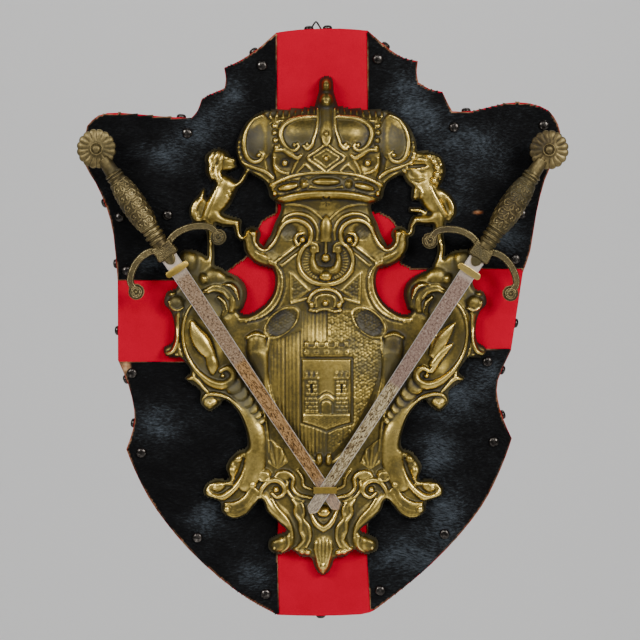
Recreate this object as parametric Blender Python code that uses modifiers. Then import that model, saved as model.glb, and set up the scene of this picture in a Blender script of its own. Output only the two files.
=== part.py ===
"""Wooden shield plaque with red felt, black hide, a stamped brass coat of arms and two swords.

The plaque hangs upright: its back lies in the plane Y = 0, its face looks along -Y and Z is up.
Flat shapes are drawn on a full-size sheet in millimetres, x to the right and y down. The place
where the hanger loop bears on its nail is the sheet's point HANGER and the model's origin.
"""
import math

import bmesh
import bpy
import numpy as np
from mathutils import Matrix, Vector, kdtree

MM = 0.001

# The drawing sheet
HANGER = (316.0, 23.0)
AXIS = 326.2                    # centre line of the coat of arms at its crown
AXIS_LEAN = 0.0085              # the centre line drifts left by this much per millimetre down
LEAN_FROM = 200.0

# Depths, all measured from the wall towards the viewer
BOARD_DEPTH = 16.0
GAP = 0.3                       # air between pieces that touch
FELT_THICK = 1.0
FELT_FRONT = BOARD_DEPTH + GAP + FELT_THICK
FELT_BACK = 2.5                 # the felt's turned edge ends this far from the wall
HIDE_BACK = FELT_FRONT + GAP
HIDE_THICK = 1.8
HIDE_FRONT = HIDE_BACK + HIDE_THICK
HIDE_INSET = 0.9
ARMS_BACK = HIDE_FRONT + GAP
ARMS_WALL = 1.4                 # upright edge of the stamped sheet
ARMS_TURN = 6.5                 # width over which the stamping turns down to its edge
ARMS_GROUND = 6.5               # height of the plain ground between the raised forms
ARMS_PITCH = 2.0                # spacing of the grid that the relief is worked out on
ARMS_TRIANGLES = 4200
SNAP_SHARE = 0.9                # furthest that an edge point moves to the outline, in grid steps
LEAST_RIDGE = 1.7               # half width below which a ridge would be lost between grid points

# Tacks
TACK_RADIUS = 5.2
TACK_RISE = 3.2
EDGE_TACK_RADIUS = 4.8
EDGE_TACK_RISE = 3.6
TACK_SIDES = 8

# Hanger
LOOP_WIRE = 0.9
LOOP_DEPTH = 2.4
LOOP_HALF = 9.0
LOOP_DROP = 15.0
KNUCKLE_RADIUS = 2.2
KNUCKLE_HALF = 6.0
STRIP = (12.0, 1.2, 14.0)       # the hanger's strip: width, thickness and length
POCKET = (44.0, 34.0, 5.0)      # width, height and depth of the recess in the board's back
POCKET_LEVEL = 32.0

# Swords, along the blade from the pommel's centre
POMMEL_RADIUS = 19.5
POMMEL_FLUTES = 16
FLUTE_DEPTH = 0.93              # radius between the flutes as a share of the pommel's radius
BLOCK_START = 113.0
BLOCK_END = 128.0
BLOCK = (21.0, 11.0)            # width and depth of the block between grip and blade
LANGET_END = 135.0
LANGET = (12.0, 2.4)
ARM_SPINE = [(116, 6), (113, 17), (114.5, 29), (120, 40), (128, 47.5), (139, 48)]
ARM_HALF = 3.3
ARM_THICK = 5.0
DISC = (7.7, 6.6)               # radius and thickness of the disc that ends each arm
COLLAR_AT = 143.0
CROSSING = (325.0, 488.0)
BLADE_THICK = 3.0
BLADE_HALF_START = 8.2
BLADE_HALF_TIP = 5.6
BLADE_TIP = 432.0
SWORDS = {
    "left": dict(pommel=(99.5, 149.5), pommel_depth=45.0, crossing_depth=38.2),
    "right": dict(pommel=(545.5, 150.5), pommel_depth=48.5, crossing_depth=41.9),
}
# Distance of the guard's discs from the blade's middle, on each side of the blade
DISC_PLACES = {"left": (51.5, -46.2), "right": (46.4, -48.8)}

# The board's outline, run by run; each run is a smooth curve and the runs meet in corners
TOP = [(367, 33), (340, 31), (300, 32), (277, 35)]
LEFT_UPPER = [
    [(277, 35), (260, 50), (242, 62), (226, 69.5)],
    [(226, 69.5), (227.5, 80), (226, 90)],
    [(226, 90), (210, 96.5), (203, 101)],
    [(203, 101), (199, 112), (192, 120)],
    [(192, 120), (160, 118), (120, 114.5), (100, 117), (89, 127)],
    [(89, 127), (86, 145), (87, 165), (97, 182), (108, 207), (115, 235), (119, 281)],
]
LEFT_BAND = [(119, 281), (119, 360)]
LEFT_LOWER = [
    [(119, 360), (129, 384), (135, 410), (134, 429), (127, 450)],
    [(127, 450), (135, 470), (149, 498), (167, 524), (190, 551), (220, 579), (250, 601), (277.5, 616)],
]
BOTTOM = [(277.5, 616), (316, 617), (361, 615.5), (374, 611.5)]
RIGHT_LOWER = [
    [(374, 611.5), (400, 591.5), (431, 565), (459.5, 535), (481, 507), (494, 483), (505, 457), (511, 439)],
    [(511, 439), (503, 421), (497, 400), (497, 380), (510, 350)],
]
RIGHT_BAND = [(510, 350), (521.6, 272)]
RIGHT_UPPER = [
    [(521.6, 272), (529, 250), (535, 212), (543, 180), (552, 160), (559, 140), (556, 125)],
    [(556, 125), (547, 112), (528, 105), (505, 105), (471, 113), (451, 113)],
    [(451, 113), (446, 104), (441, 93.5)],
    [(441, 93.5), (429, 91), (417, 84)],
    [(417, 84), (415, 74), (416, 63)],
    [(416, 63), (403, 60), (388, 51), (367, 33)],
]

# Inner edges of the hides, along the red cross
HIDES = {
    "hide_upper_left": (LEFT_UPPER, [(119, 281), (213, 281)],
                        [(213, 281), (236, 265), (249, 254), (255, 236), (262, 222), (277, 213)]),
    "hide_upper_right": (RIGHT_UPPER, [(369, 211), (371, 211)],
                         [(371, 211), (388, 217), (399, 232), (404, 255), (409, 268), (521.6, 269)]),
    "hide_lower_left": (LEFT_LOWER, [(278.5, 616), (277, 555)], [(277, 361), (119, 361)]),
    "hide_lower_right": (RIGHT_LOWER, [(510, 350), (367, 349)], [(367.5, 553), (371, 612)]),
}

FACE_TACKS = [
    (262.5, 66.5), (188, 133.5), (120.5, 217), (168, 215), (127.5, 270.5),
    (377.5, 60), (453.5, 127.5), (543, 125.5), (521, 214), (515, 259),
    (132, 373), (141, 453), (197, 538.5), (265.5, 595.5),
    (487.5, 361.5), (494, 442), (445, 535), (380.5, 592),
]
EDGE_TACKS = [
    (104.5, 204), (115, 264), (119, 331), (127, 381), (133.5, 421.5), (252, 54), (180, 116.5),
    (309, 31), (327.5, 30), (386.5, 47), (466.5, 109), (515.5, 323.5), (501.5, 369), (503, 416), (316.5, 617),
]

# The coat of arms: outline of its right half, as distance from the axis and height on the sheet
ARMS_OUTLINE = [
    (-6, 107), (12, 107), (26, 109), (46, 110), (62, 111.5), (73, 117), (81, 125), (87, 136), (90, 147),
    (88, 160), (82, 169), (72, 176), (62, 182), (58, 190), (56, 198), (49, 203), (45, 205), (46, 213),
    (51, 223), (55, 234), (60, 243), (64, 253), (62, 261), (55, 266), (50.5, 276), (51.5, 290), (57.5, 301),
    (66.5, 309), (77.5, 314), (86, 311), (82, 301), (80.5, 290), (84.5, 280), (94, 273), (108, 267),
    (122, 254), (134, 249.5), (146, 254), (151, 265), (147, 279), (149, 288), (158, 292), (161, 303),
    (154, 312), (150.5, 326), (152, 341), (161, 348), (158, 356), (145, 357), (138, 364), (134, 372),
    (140, 378), (133, 384), (124, 391), (124, 403), (115, 411), (105, 405), (99, 400), (88, 410), (80, 426),
    (77, 446), (88, 452), (98, 466), (95, 479), (108, 479), (119, 486), (119, 496), (104, 502), (102, 512),
    (90, 519), (76, 514), (63, 500), (57, 512), (46, 522), (37, 531), (43, 534), (54, 540), (54, 551),
    (43, 555), (31, 551), (23, 557), (12, 559), (9, 567), (4, 574), (-6, 576),
]


def reset_scene():
    for item in list(bpy.data.objects):
        bpy.data.objects.remove(item, do_unlink=True)


def new_collection(name):
    collection = bpy.data.collections.new(name)
    bpy.context.scene.collection.children.link(collection)
    return collection


def principled(name, colour, roughness, metallic=0.0):
    material = bpy.data.materials.new(name)
    material.use_nodes = True
    shader = material.node_tree.nodes["Principled BSDF"]
    shader.inputs["Base Color"].default_value = (*colour, 1.0)
    shader.inputs["Roughness"].default_value = roughness
    shader.inputs["Metallic"].default_value = metallic
    return material


def add_object(name, mesh, material, collection=None):
    item = bpy.data.objects.new(name, mesh)
    (collection or PARTS).objects.link(item)
    if material:
        mesh.materials.clear()
        mesh.materials.append(material)
    return item


def smooth_path(points, parts):
    """Catmull-Rom curve through rows of numbers, each span cut into equal parts."""
    rows = np.asarray(points, dtype=float)
    padded = np.vstack([2 * rows[0] - rows[1], rows, 2 * rows[-1] - rows[-2]])
    out = []
    for a, b, c, d in zip(padded, padded[1:], padded[2:], padded[3:]):
        for t in np.arange(parts) / parts:
            out.append(0.5 * (2 * b + (c - a) * t + (2 * a - 5 * b + 4 * c - d) * t ** 2
                              + (3 * b - a - 3 * c + d) * t ** 3))
    out.append(rows[-1])
    return np.array(out)


def chain(runs, parts=2):
    """Points of several runs in order, with each shared corner kept once."""
    out = []
    for run in runs:
        curve = smooth_path(run, parts if len(run) > 2 else 1)
        for point in curve:
            if not out or math.dist(out[-1], point) > 0.5:
                out.append(tuple(point))
    return out


def offset_outline(points, distance):
    """A closed outline moved sideways, outwards where distance is positive."""
    rows = np.array(points)
    area = sum(a[0] * b[1] - b[0] * a[1] for a, b in zip(points, points[1:] + points[:1]))
    turn = 1.0 if area > 0 else -1.0
    before = rows - np.roll(rows, 1, axis=0)
    after = np.roll(rows, -1, axis=0) - rows
    normals = []
    for edge in (before, after):
        unit = edge / np.linalg.norm(edge, axis=1)[:, None]
        normals.append(np.stack([unit[:, 1], -unit[:, 0]], axis=1) * turn)
    mitre = normals[0] + normals[1]
    mitre /= np.maximum(np.linalg.norm(mitre, axis=1)[:, None], 0.3)
    reach = distance / np.maximum((mitre * normals[0]).sum(axis=1), 0.5)
    return [tuple(row) for row in rows + mitre * reach[:, None]]


def plate_mesh(name, points, thick):
    """A flat outline in the XY plane, thick along Z and centred on it."""
    curve = bpy.data.curves.new(name, "CURVE")
    curve.dimensions = "2D"
    curve.fill_mode = "BOTH"
    curve.extrude = thick * MM / 2
    spline = curve.splines.new("POLY")
    spline.points.add(len(points) - 1)
    for spot, (x, y) in zip(spline.points, points):
        spot.co = (x * MM, y * MM, 0.0, 1.0)
    spline.use_cyclic_u = True
    holder = bpy.data.objects.new(name, curve)
    GUIDES.objects.link(holder)
    bpy.context.view_layer.update()
    evaluated = holder.evaluated_get(bpy.context.evaluated_depsgraph_get())
    mesh = bpy.data.meshes.new_from_object(evaluated)
    bpy.data.objects.remove(holder, do_unlink=True)
    shell = bmesh.new()
    shell.from_mesh(mesh)
    bmesh.ops.remove_doubles(shell, verts=shell.verts, dist=0.00001)
    bmesh.ops.recalc_face_normals(shell, faces=shell.faces)
    shell.to_mesh(mesh)
    shell.free()
    mesh.name = name
    return mesh


def on_sheet(points):
    """Sheet points to the plane that is turned upright, in millimetres."""
    return [(x - HANGER[0], HANGER[1] - y) for x, y in points]


def stand_up(item, depth):
    """Turn a piece made in the XY plane to face -Y, its own zero height at the depth given."""
    item.rotation_euler = (math.pi / 2, 0.0, 0.0)
    item.location = (0.0, -depth * MM, 0.0)
    return item


def sheet_plate(name, points, near, far, material, collection=None):
    """An upright slab between two depths, cut to an outline on the sheet."""
    mesh = plate_mesh(name, on_sheet(points), far - near)
    return stand_up(add_object(name, mesh, material, collection), (near + far) / 2)


def as_cutter(item):
    item.hide_render = True
    item.display_type = "WIRE"
    return item


def boolean(item, other, operation):
    modifier = item.modifiers.new(operation.title(), "BOOLEAN")
    modifier.operation = operation
    modifier.solver = "EXACT"
    modifier.object = other


def box_mesh(name, size, centre=(0.0, 0.0, 0.0)):
    """A box in millimetres."""
    shell = bmesh.new()
    bmesh.ops.create_cube(shell, size=1.0)
    bmesh.ops.scale(shell, vec=[side * MM for side in size], verts=shell.verts)
    bmesh.ops.translate(shell, vec=[value * MM for value in centre], verts=shell.verts)
    mesh = bpy.data.meshes.new(name)
    shell.to_mesh(mesh)
    shell.free()
    return mesh


def turned_mesh(name, profile, sides):
    """A turned solid about X from (station, radius) pairs that end on the axis or close on themselves."""
    shell = bmesh.new()
    spots = [shell.verts.new((station * MM, radius * MM, 0.0)) for station, radius in profile]
    pairs = list(zip(spots, spots[1:]))
    if profile[0][1] > 0:
        pairs.append((spots[-1], spots[0]))
    for pair in pairs:
        shell.edges.new(pair)
    bmesh.ops.spin(shell, geom=list(shell.verts) + list(shell.edges), cent=(0, 0, 0), axis=(1, 0, 0),
                   angle=2 * math.pi, steps=sides, use_merge=True)
    bmesh.ops.remove_doubles(shell, verts=shell.verts, dist=0.00001)
    bmesh.ops.recalc_face_normals(shell, faces=shell.faces)
    mesh = bpy.data.meshes.new(name)
    shell.to_mesh(mesh)
    shell.free()
    return mesh


FORMS = {
    "round": lambda t: np.sqrt(1.0 - t * t),
    "soft": lambda t: (1.0 - t * t) ** 1.5,
    "sharp": lambda t: 1.0 - t,
    "flat": lambda t: np.clip((1.0 - t) * 4.0, 0.0, 1.0),
}


class Relief:
    """Heights in millimetres over a stretch of the sheet, with the outline of what is raised."""

    def __init__(self, west, north, east, south, pitch):
        columns = round((east - west) / pitch) + 1
        rows = round((south - north) / pitch) + 1
        self.pitch = pitch
        self.x, self.y = np.meshgrid(np.linspace(west, east, columns), np.linspace(south, north, rows))
        self.u = self.x
        self.body = np.zeros_like(self.x)
        self.carving = np.zeros_like(self.x)
        self.inside = np.full_like(self.x, -30.0)

    def fold(self, axis):
        """Draw both halves at once from now on, by distance from the axis."""
        self.u = np.abs(self.x - axis)

    def unfold(self):
        self.u = self.x

    def near(self, low, high, margin):
        return ((self.u > low[0] - margin) & (self.u < high[0] + margin)
                & (self.y > low[1] - margin) & (self.y < high[1] + margin))

    def press(self, area, share, rise, base, blend):
        """Add a rise where it is part of the mark: to the carving, or to the body above a base."""
        if base is None:
            old = self.carving[area]
            new = np.maximum(old, rise) if rise.max() > 0 else np.minimum(old, rise)
            self.carving[area] = np.where(share < 1.0, new, old)
            return
        old = self.body[area]
        new = np.where(share < 1.0, base + rise, 0.0)
        overlap = np.clip(blend - np.abs(old - new), 0.0, None)
        joined = np.maximum(old, new) + overlap ** 2 / (4 * blend)
        self.body[area] = np.where(share < 1.0, joined, old)

    def stroke(self, points, height, form="round", base=None, blend=1.5):
        """A ridge along a smooth path of (place, level, half width) rows."""
        longest = max(math.dist(a[:2], b[:2]) for a, b in zip(points, points[1:]))
        path = smooth_path(points, max(2, math.ceil(longest / 0.8)))
        path[:, 2] = np.maximum(path[:, 2], LEAST_RIDGE)
        wide = path[:, 2].max()
        area = self.near(path[:, :2].min(axis=0), path[:, :2].max(axis=0), wide + 3.0)
        if not area.any():
            return
        away = np.hypot(self.u[area][:, None] - path[None, :, 0], self.y[area][:, None] - path[None, :, 1])
        best = np.argmax(path[None, :, 2] - away, axis=1)
        reach = path[best, 2]
        gap = away[np.arange(len(best)), best]
        share = np.clip(gap / reach, 0.0, 1.0)
        self.press(area, share, height * np.sqrt(reach / wide) * FORMS[form](share), base, blend)
        self.inside[area] = np.maximum(self.inside[area], reach - gap)

    def oval(self, centre, radii, angle):
        """The cells round an oval, with their distance from its middle as a share of its radius."""
        area = self.near(centre, centre, max(radii) * 1.5 + 2.0)
        turn = math.radians(angle)
        du = self.u[area] - centre[0]
        dy = self.y[area] - centre[1]
        return area, np.hypot((du * math.cos(turn) + dy * math.sin(turn)) / radii[0],
                              (dy * math.cos(turn) - du * math.sin(turn)) / radii[1])

    def dome(self, centre, radii, height, angle=0.0, form="round", base=None, blend=1.5):
        """An oval boss, or a dish where the height is negative."""
        area, share = self.oval(centre, radii, angle)
        self.press(area, share, height * FORMS[form](np.clip(share, 0.0, 1.0)), base, blend)
        self.inside[area] = np.maximum(self.inside[area], (1.0 - share) * min(radii))

    def region(self, points, parts=4):
        """Ground inside a closed smooth outline."""
        outline = smooth_path(list(points), parts)
        ends = np.roll(outline, -1, axis=0)
        px, py = self.u.ravel(), self.y.ravel()
        nearest = np.full(px.shape, 1e9)
        odd = np.zeros(px.shape, dtype=bool)
        for (ax, ay), (bx, by) in zip(outline, ends):
            ex, ey = bx - ax, by - ay
            length = max(ex * ex + ey * ey, 1e-9)
            t = np.clip(((px - ax) * ex + (py - ay) * ey) / length, 0.0, 1.0)
            nearest = np.minimum(nearest, np.hypot(px - ax - t * ex, py - ay - t * ey))
            if ay != by:
                crosses = (ay > py) != (by > py)
                odd ^= crosses & (px < ax + (py - ay) * ex / ey)
        signed = np.where(odd, nearest, -nearest).reshape(self.u.shape)
        self.inside = np.maximum(self.inside, signed)
        self.body = np.where(signed > -self.pitch, ARMS_GROUND, 0.0)

    def swell(self, centre, radii, height, form="soft"):
        """Broad body form: an oval that swells out of the ground."""
        area, share = self.oval(centre, radii, 0.0)
        rise = height * FORMS[form](np.clip(share, 0.0, 1.0))
        self.press(area, share, rise, ARMS_GROUND, 4.0)

    def soften(self, reach):
        """Even out the body's creases over about the given distance."""
        for _ in range(max(1, round(2 * (reach / self.pitch) ** 2))):
            wide = np.pad(self.body, 1, mode="edge")
            self.body = (wide[1:-1, 1:-1] * 4 + wide[:-2, 1:-1] + wide[2:, 1:-1]
                         + wide[1:-1, :-2] + wide[1:-1, 2:]) / 8

    def edge_distance(self):
        """Distance of each inner point from the outline's zero line."""
        spots = []
        for first, second in ((np.s_[:, :-1], np.s_[:, 1:]), (np.s_[:-1, :], np.s_[1:, :])):
            a, b = self.inside[first], self.inside[second]
            cut = (a > 0) != (b > 0)
            share = a[cut] / (a[cut] - b[cut])
            x = self.x[first][cut] + share * (self.x[second][cut] - self.x[first][cut])
            y = self.y[first][cut] + share * (self.y[second][cut] - self.y[first][cut])
            spots.extend(zip(x, y))
        tree = kdtree.KDTree(len(spots))
        for number, (x, y) in enumerate(spots):
            tree.insert((x, y, 0.0), number)
        tree.balance()
        distance = np.zeros_like(self.x)
        for row, column in zip(*np.nonzero(self.inside > 0)):
            distance[row, column] = tree.find((self.x[row, column], self.y[row, column], 0.0))[2]
        return distance

    def surface(self, wall, turn):
        """Heights with the edge rounded down to its upright wall."""
        total = np.maximum(self.body + self.carving, wall)
        share = np.clip(self.edge_distance() / turn, 0.0, 1.0)
        return wall + (total - wall) * np.sqrt(1.0 - (1.0 - share) ** 2)


def relief_mesh(name, field, wall, turn):
    """A closed solid: the field's surface in front, an upright edge and a flat back."""
    heights = field.surface(wall, turn)
    rows, columns = field.x.shape
    shell = bmesh.new()
    bmesh.ops.create_grid(shell, x_segments=columns - 1, y_segments=rows - 1, size=1.0)
    spots = sorted(shell.verts, key=lambda spot: (round(spot.co.y * 4 * rows), spot.co.x))
    rising, across = np.gradient(field.inside, field.pitch)
    slope = np.maximum(np.hypot(across, rising), 0.5)
    flat = {}
    for number, spot in enumerate(spots):
        row, column = divmod(number, columns)
        spot.co = ((field.x[row, column] - HANGER[0]) * MM, (HANGER[1] - field.y[row, column]) * MM,
                   heights[row, column] * MM)
        flat[spot] = (row, column)
    outer = [face for face in shell.faces
             if sum(field.inside[flat[spot]] for spot in face.verts) <= 0.0]
    bmesh.ops.delete(shell, geom=outer, context="FACES")
    while True:
        pinched = [spot for spot in shell.verts if sum(edge.is_boundary for edge in spot.link_edges) > 2]
        if not pinched:
            break
        bmesh.ops.delete(shell, geom=list({spot.link_faces[0] for spot in pinched}), context="FACES")
    for spot in shell.verts:
        if any(edge.is_boundary for edge in spot.link_edges):
            row, column = flat[spot]
            most = SNAP_SHARE * field.pitch
            step = np.clip(-field.inside[row, column] / slope[row, column], -most, most)
            spot.co.x += step * across[row, column] / slope[row, column] * MM
            spot.co.y += step * rising[row, column] / slope[row, column] * MM
            spot.co.z = wall * MM
    back = list(shell.faces)
    made = bmesh.ops.extrude_face_region(shell, geom=back, use_keep_orig=True)
    front = [item for item in made["geom"] if isinstance(item, bmesh.types.BMVert)]
    moved = set(front)
    for spot in shell.verts:
        if spot not in moved:
            spot.co.z = 0.0
    bmesh.ops.recalc_face_normals(shell, faces=shell.faces)
    mesh = bpy.data.meshes.new(name)
    shell.to_mesh(mesh)
    shell.free()
    return mesh


def curl(field, rows, height, eye, radius):
    """A tapering ridge that rolls up round an eye."""
    field.stroke(rows, height)
    field.dome(eye, (radius, radius), height * 1.1)


def crown(field):
    """The royal crown: domed body, arches, leaf, side panels, beads and headband."""
    field.swell((0, 150), (98, 62), 21)
    field.swell((0, 188), (72, 30), 17)
    # finial of two balls on a taper
    field.stroke([(0, 84, 5.5), (0, 94, 6.5), (0, 108, 9)], 9, base=6)
    field.dome((0, 86), (6.5, 6.5), 8, base=12)
    field.dome((0, 100), (8.5, 7.5), 11, base=12)
    # caps that bulge between the arches
    field.dome((66, 137), (14, 20), 4.5)
    field.dome((25, 131), (17, 11), 4.5)
    # outer arches with a curled end, and the ridge below them
    curl(field, [(68, 116, 1.8), (76, 124, 2.2), (80.5, 135, 2.6), (82, 147, 2.8), (79, 156, 2.6),
                 (72, 160.5, 2.4), (65, 159, 2.0), (62, 154, 1.6)], 3.6, (65, 153.5), 2.8)
    field.stroke([(78, 162, 1.6), (66, 166, 2.0), (56, 171.5, 2.0), (48, 177, 1.6)], 2.6)
    # rib between the arches, with its row of beads
    field.stroke([(56, 116, 3.5), (53, 130, 4.5), (51, 145, 4.5), (53, 158, 3.5)], 2.4, form="soft")
    for place in ((50, 126.5), (49, 134), (47.5, 142)):
        field.dome(place, (3.0, 3.0), 3.8)
    # inner arches
    curl(field, [(9, 119, 1.6), (24, 119.5, 2.0), (36, 123, 2.6), (43.5, 131, 3.0), (44, 139, 2.8),
                 (40, 146, 2.6), (33, 149, 2.2), (27.5, 146, 1.8)], 4.6, (29.5, 144), 2.8)
    # centre leaf with its two curls and boss
    field.stroke([(0, 109, 6), (0, 122, 6.5), (0, 134, 8), (0, 142, 5)], 4.5, form="soft")
    curl(field, [(6, 112, 1.4), (7, 124, 1.8), (10, 135, 2.2), (14, 143, 2.4), (19, 147.5, 2.2),
                 (23.5, 145, 1.8)], 4.4, (20, 143.5), 2.8)
    field.dome((0, 134.5), (3.6, 3.6), 7.0)
    # lozenge with a raised middle and boss
    field.stroke([(0, 146.5, 1.5), (8, 152.5, 1.5), (16.5, 158.5, 1.6), (8, 165, 1.5), (0, 171, 1.5)], 3.6)
    field.dome((0, 159), (3.4, 3.4), 5.4)
    # side panels: a sunk pocket, a wave above, a boss
    field.dome((40, 163), (12, 9), -1.6, form="soft")
    field.stroke([(49, 151.5, 1.8), (41, 150.5, 2.2), (34, 155, 2.2), (28, 158.5, 2.0), (23, 155, 1.6)], 4.0)
    field.dome((41, 162.5), (3.4, 3.4), 4.6)
    field.stroke([(30, 172, 1.2), (20, 163, 1.5), (12, 170, 1.2)], 2.8)
    # beads round the outer edge, pleats along the top
    beads = [(71, 115), (79, 123), (85, 134), (88, 147), (86, 158), (80, 168), (71, 175), (62, 180)]
    for place in smooth_path(beads, 2):
        field.dome(place, (3.2, 3.2), 3.6)
    for number in range(7):
        place = 13.0 + 6.5 * number
        field.stroke([(place, 111, 1.8), (place, 116, 1.8)], 1.8)
    # headband with its stones between two ridges
    field.stroke([(-5, 172.6, 2.0), (14, 173, 2.0), (30, 175, 2.0), (44, 179.5, 2.0), (56, 186, 1.8)], 3.4)
    field.stroke([(-5, 193, 3.4), (14, 193.5, 3.4), (30, 195.5, 3.4), (44, 199.5, 3.2), (53, 203, 2.4)], 5.6)
    field.dome((0, 181.5), (13.5, 3.8), 4.0)
    field.dome((38, 186.6), (10.5, 3.2), 4.0, angle=12)
    field.dome((22, 184), (4.2, 4.2), 3.8, form="sharp")
    field.dome((51, 193.5), (3.0, 3.0), 5.5)


def neck(field):
    """The neck under the crown, with paired volutes, a drop between them, and the shoulder scrolls."""
    field.swell((0, 226), (62, 50), 9)
    field.stroke([(42, 206.5, 1.4), (21, 206.5, 1.5), (9, 213, 1.5), (0, 222.5, 1.5)], 2.4)
    field.stroke([(46, 233, 1.6), (42, 224, 2.0), (35, 217, 2.2), (26, 213.5, 2.2), (16, 217, 2.2),
                  (10, 225, 2.0), (8, 236, 1.6)], 3.4)
    field.dome((33, 231), (8, 7), -2.6, form="soft")
    curl(field, [(42, 236, 1.6), (38.5, 227, 2.0), (30, 221.5, 2.2), (21.5, 222, 2.2), (16, 228.5, 2.2),
                 (15.5, 236, 2.2), (19, 242.5, 2.0), (25, 243.5, 1.8), (28, 239, 1.6)],
         4.0, (22.5, 236.5), 3.2)
    field.stroke([(0, 217, 3), (0, 224, 6), (0, 232, 5), (0, 241, 2.5)], 4.6)
    field.stroke([(26, 244, 1.5), (51, 262.5, 1.5)], 3.0)
    # shoulder scroll: a rolled end, the body below it and its lip
    field.stroke([(73, 236, 9), (73, 246, 10), (67, 253, 11), (58, 256, 10)], 6.5, base=6)
    field.dome((73.5, 236), (9.5, 9.5), 7.5, base=7)
    field.stroke([(69.5, 233, 1.6), (70.5, 242, 1.8), (65, 247.5, 1.8), (57, 247.5, 1.8), (51.5, 242, 1.6),
                  (49, 234, 1.4)], 2.6)


def upper_panel(field):
    """The fan shell, the pebbled triangles and the knot over the shield."""
    field.swell((0, 284), (70, 66), 5)
    field.dome((0, 262), (24, 21), -1.6, form="flat")
    curl(field, [(11.5, 249, 1.6), (12, 244.5, 1.8), (16.5, 243, 2.0), (22, 247, 2.2), (25.5, 255, 2.2),
                 (25.5, 266, 2.4), (21, 276, 2.4), (12, 282.5, 2.4), (-4, 285, 2.4)], 3.6, (15.5, 248), 2.8)
    field.stroke([(12, 256, 1.8), (12.5, 264, 2.4), (8, 271, 2.8), (-4, 274, 2.8)], 3.0)
    field.dome((0, 257), (5.2, 5.2), 6.0)
    field.dome((0, 276.5), (7, 4.6), 6.2)
    triangle = [(34.5, 272.5), (33, 303), (16.5, 290)]
    for a, b in zip(triangle, triangle[1:] + triangle[:1]):
        field.stroke([(*a, 1.3), (*b, 1.3)], 2.4)
    # knot: an arch over a boss, with two knobs and side straps
    field.stroke([(-4, 291, 2.2), (7, 292, 2.4), (13, 297, 2.6), (13.5, 304, 2.6)], 4.6)
    field.dome((0, 302.5), (4.4, 4.0), 6.0)
    field.dome((12.5, 307), (3.8, 3.8), 5.4)
    field.stroke([(33, 303, 1.6), (24, 301.5, 1.8), (16, 299, 1.8)], 3.2)
    # ridge round the side window
    field.stroke([(50, 263, 1.6), (45, 271, 1.8), (43.5, 281, 2.0), (45, 293, 2.0), (50, 304, 2.2),
                  (58, 312, 2.2), (68, 318, 2.2), (79, 320, 2.0)], 3.4)


def shield(field):
    """The convex shield field with its rim, ovals and side lobes."""
    field.swell((0, 385), (64, 96), 11)
    field.dome((41, 322), (19, 10.5), 2.4, angle=39, form="flat")
    field.stroke([(56, 338, 1.6), (57, 352, 2.0), (57, 370, 2.2), (55, 388, 2.2), (49, 407, 2.2),
                  (39, 427, 2.2), (27, 445, 2.2), (14, 457, 2.0), (2, 463, 1.8)], 3.2)
    field.stroke([(67, 341, 9), (65, 353, 8.5), (61, 367, 6), (59, 384, 3.5)], 5.5)
    field.dome((4, 461), (3.4, 5), 5)


def side_scroll(field):
    """The large shell scroll beside the shield, and the stem below it."""
    field.swell((118, 322), (50, 84), 5)
    field.swell((66, 430), (36, 80), 3)
    # rolled domes along the top
    field.dome((137.5, 263), (13, 13), 9, base=6.5)
    field.dome((113, 276), (11.5, 9.5), 8, base=6.5)
    field.stroke([(110, 286, 4), (98, 280, 5.5), (88.5, 285, 6), (86, 297, 5.5), (89, 307, 4)], 7, base=7)
    curl(field, [(119, 291, 1.6), (111, 287, 2.0), (101, 288.5, 2.4), (94.5, 296, 2.4), (94.5, 306, 2.2),
                 (100.5, 312, 1.8), (107, 311, 1.6)], 3.8, (104, 302), 3.0)
    # long shell: rim that rolls into a curl, hollow, and a leaf inside
    field.dome((121, 338), (15, 34), -3.4, angle=-16, form="soft")
    curl(field, [(128, 300, 1.8), (137, 308, 2.2), (141, 320, 2.4), (140.5, 335, 2.4), (137, 350, 2.4),
                 (130, 362, 2.6), (120, 372, 2.8), (109, 378.5, 3.0), (99, 380, 2.8), (92, 375.5, 2.6),
                 (91.5, 368, 2.2), (97, 363.5, 2.0)], 4.4, (99, 371), 3.8)
    field.stroke([(128, 322, 3.5), (126, 335, 7), (119, 349, 9), (111, 361, 7), (106, 370, 4)], 6.5,
                 form="soft")
    # outer frill
    for place in ((152, 294), (143, 301), (157, 304), (140, 289)):
        field.dome(place, (5, 4.6), 4.0)
    field.stroke([(159, 307, 1.8), (153, 316, 2.0), (149.5, 328, 2.2), (149.5, 340, 2.2), (153, 349, 2.2),
                  (160, 351.5, 2.4)], 3.6)
    field.stroke([(147, 352, 1.8), (142, 358, 2.2), (136.5, 366, 2.2), (129, 375, 2.0)], 3.0)
    field.stroke([(136, 378.5, 3.0), (129, 378, 2.2), (122, 382.5, 2.2), (116, 388, 1.8)], 3.8)
    # volute, stem with its rim line, and the row of husks
    field.dome((114.5, 402), (8.6, 8.6), 6.0)
    field.stroke([(122, 402, 1.8), (121.5, 395.5, 2.0), (114, 392.5, 2.2), (104, 394, 2.2), (94, 398.5, 2.2),
                  (84.5, 407, 2.0), (76.5, 419, 1.8), (73.5, 434, 1.6), (75, 452, 1.6)], 3.4)
    field.stroke([(86, 405, 5), (76, 419, 8), (69, 436, 10), (67, 453, 10), (70, 470, 9), (76, 482, 7)],
                 4.6, form="soft")
    for place in ((87.5, 386), (80.5, 392.5), (75, 399.5), (70.5, 407), (67.5, 414)):
        field.dome(place, (7.4, 3.8), 3.6, angle=36)


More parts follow.
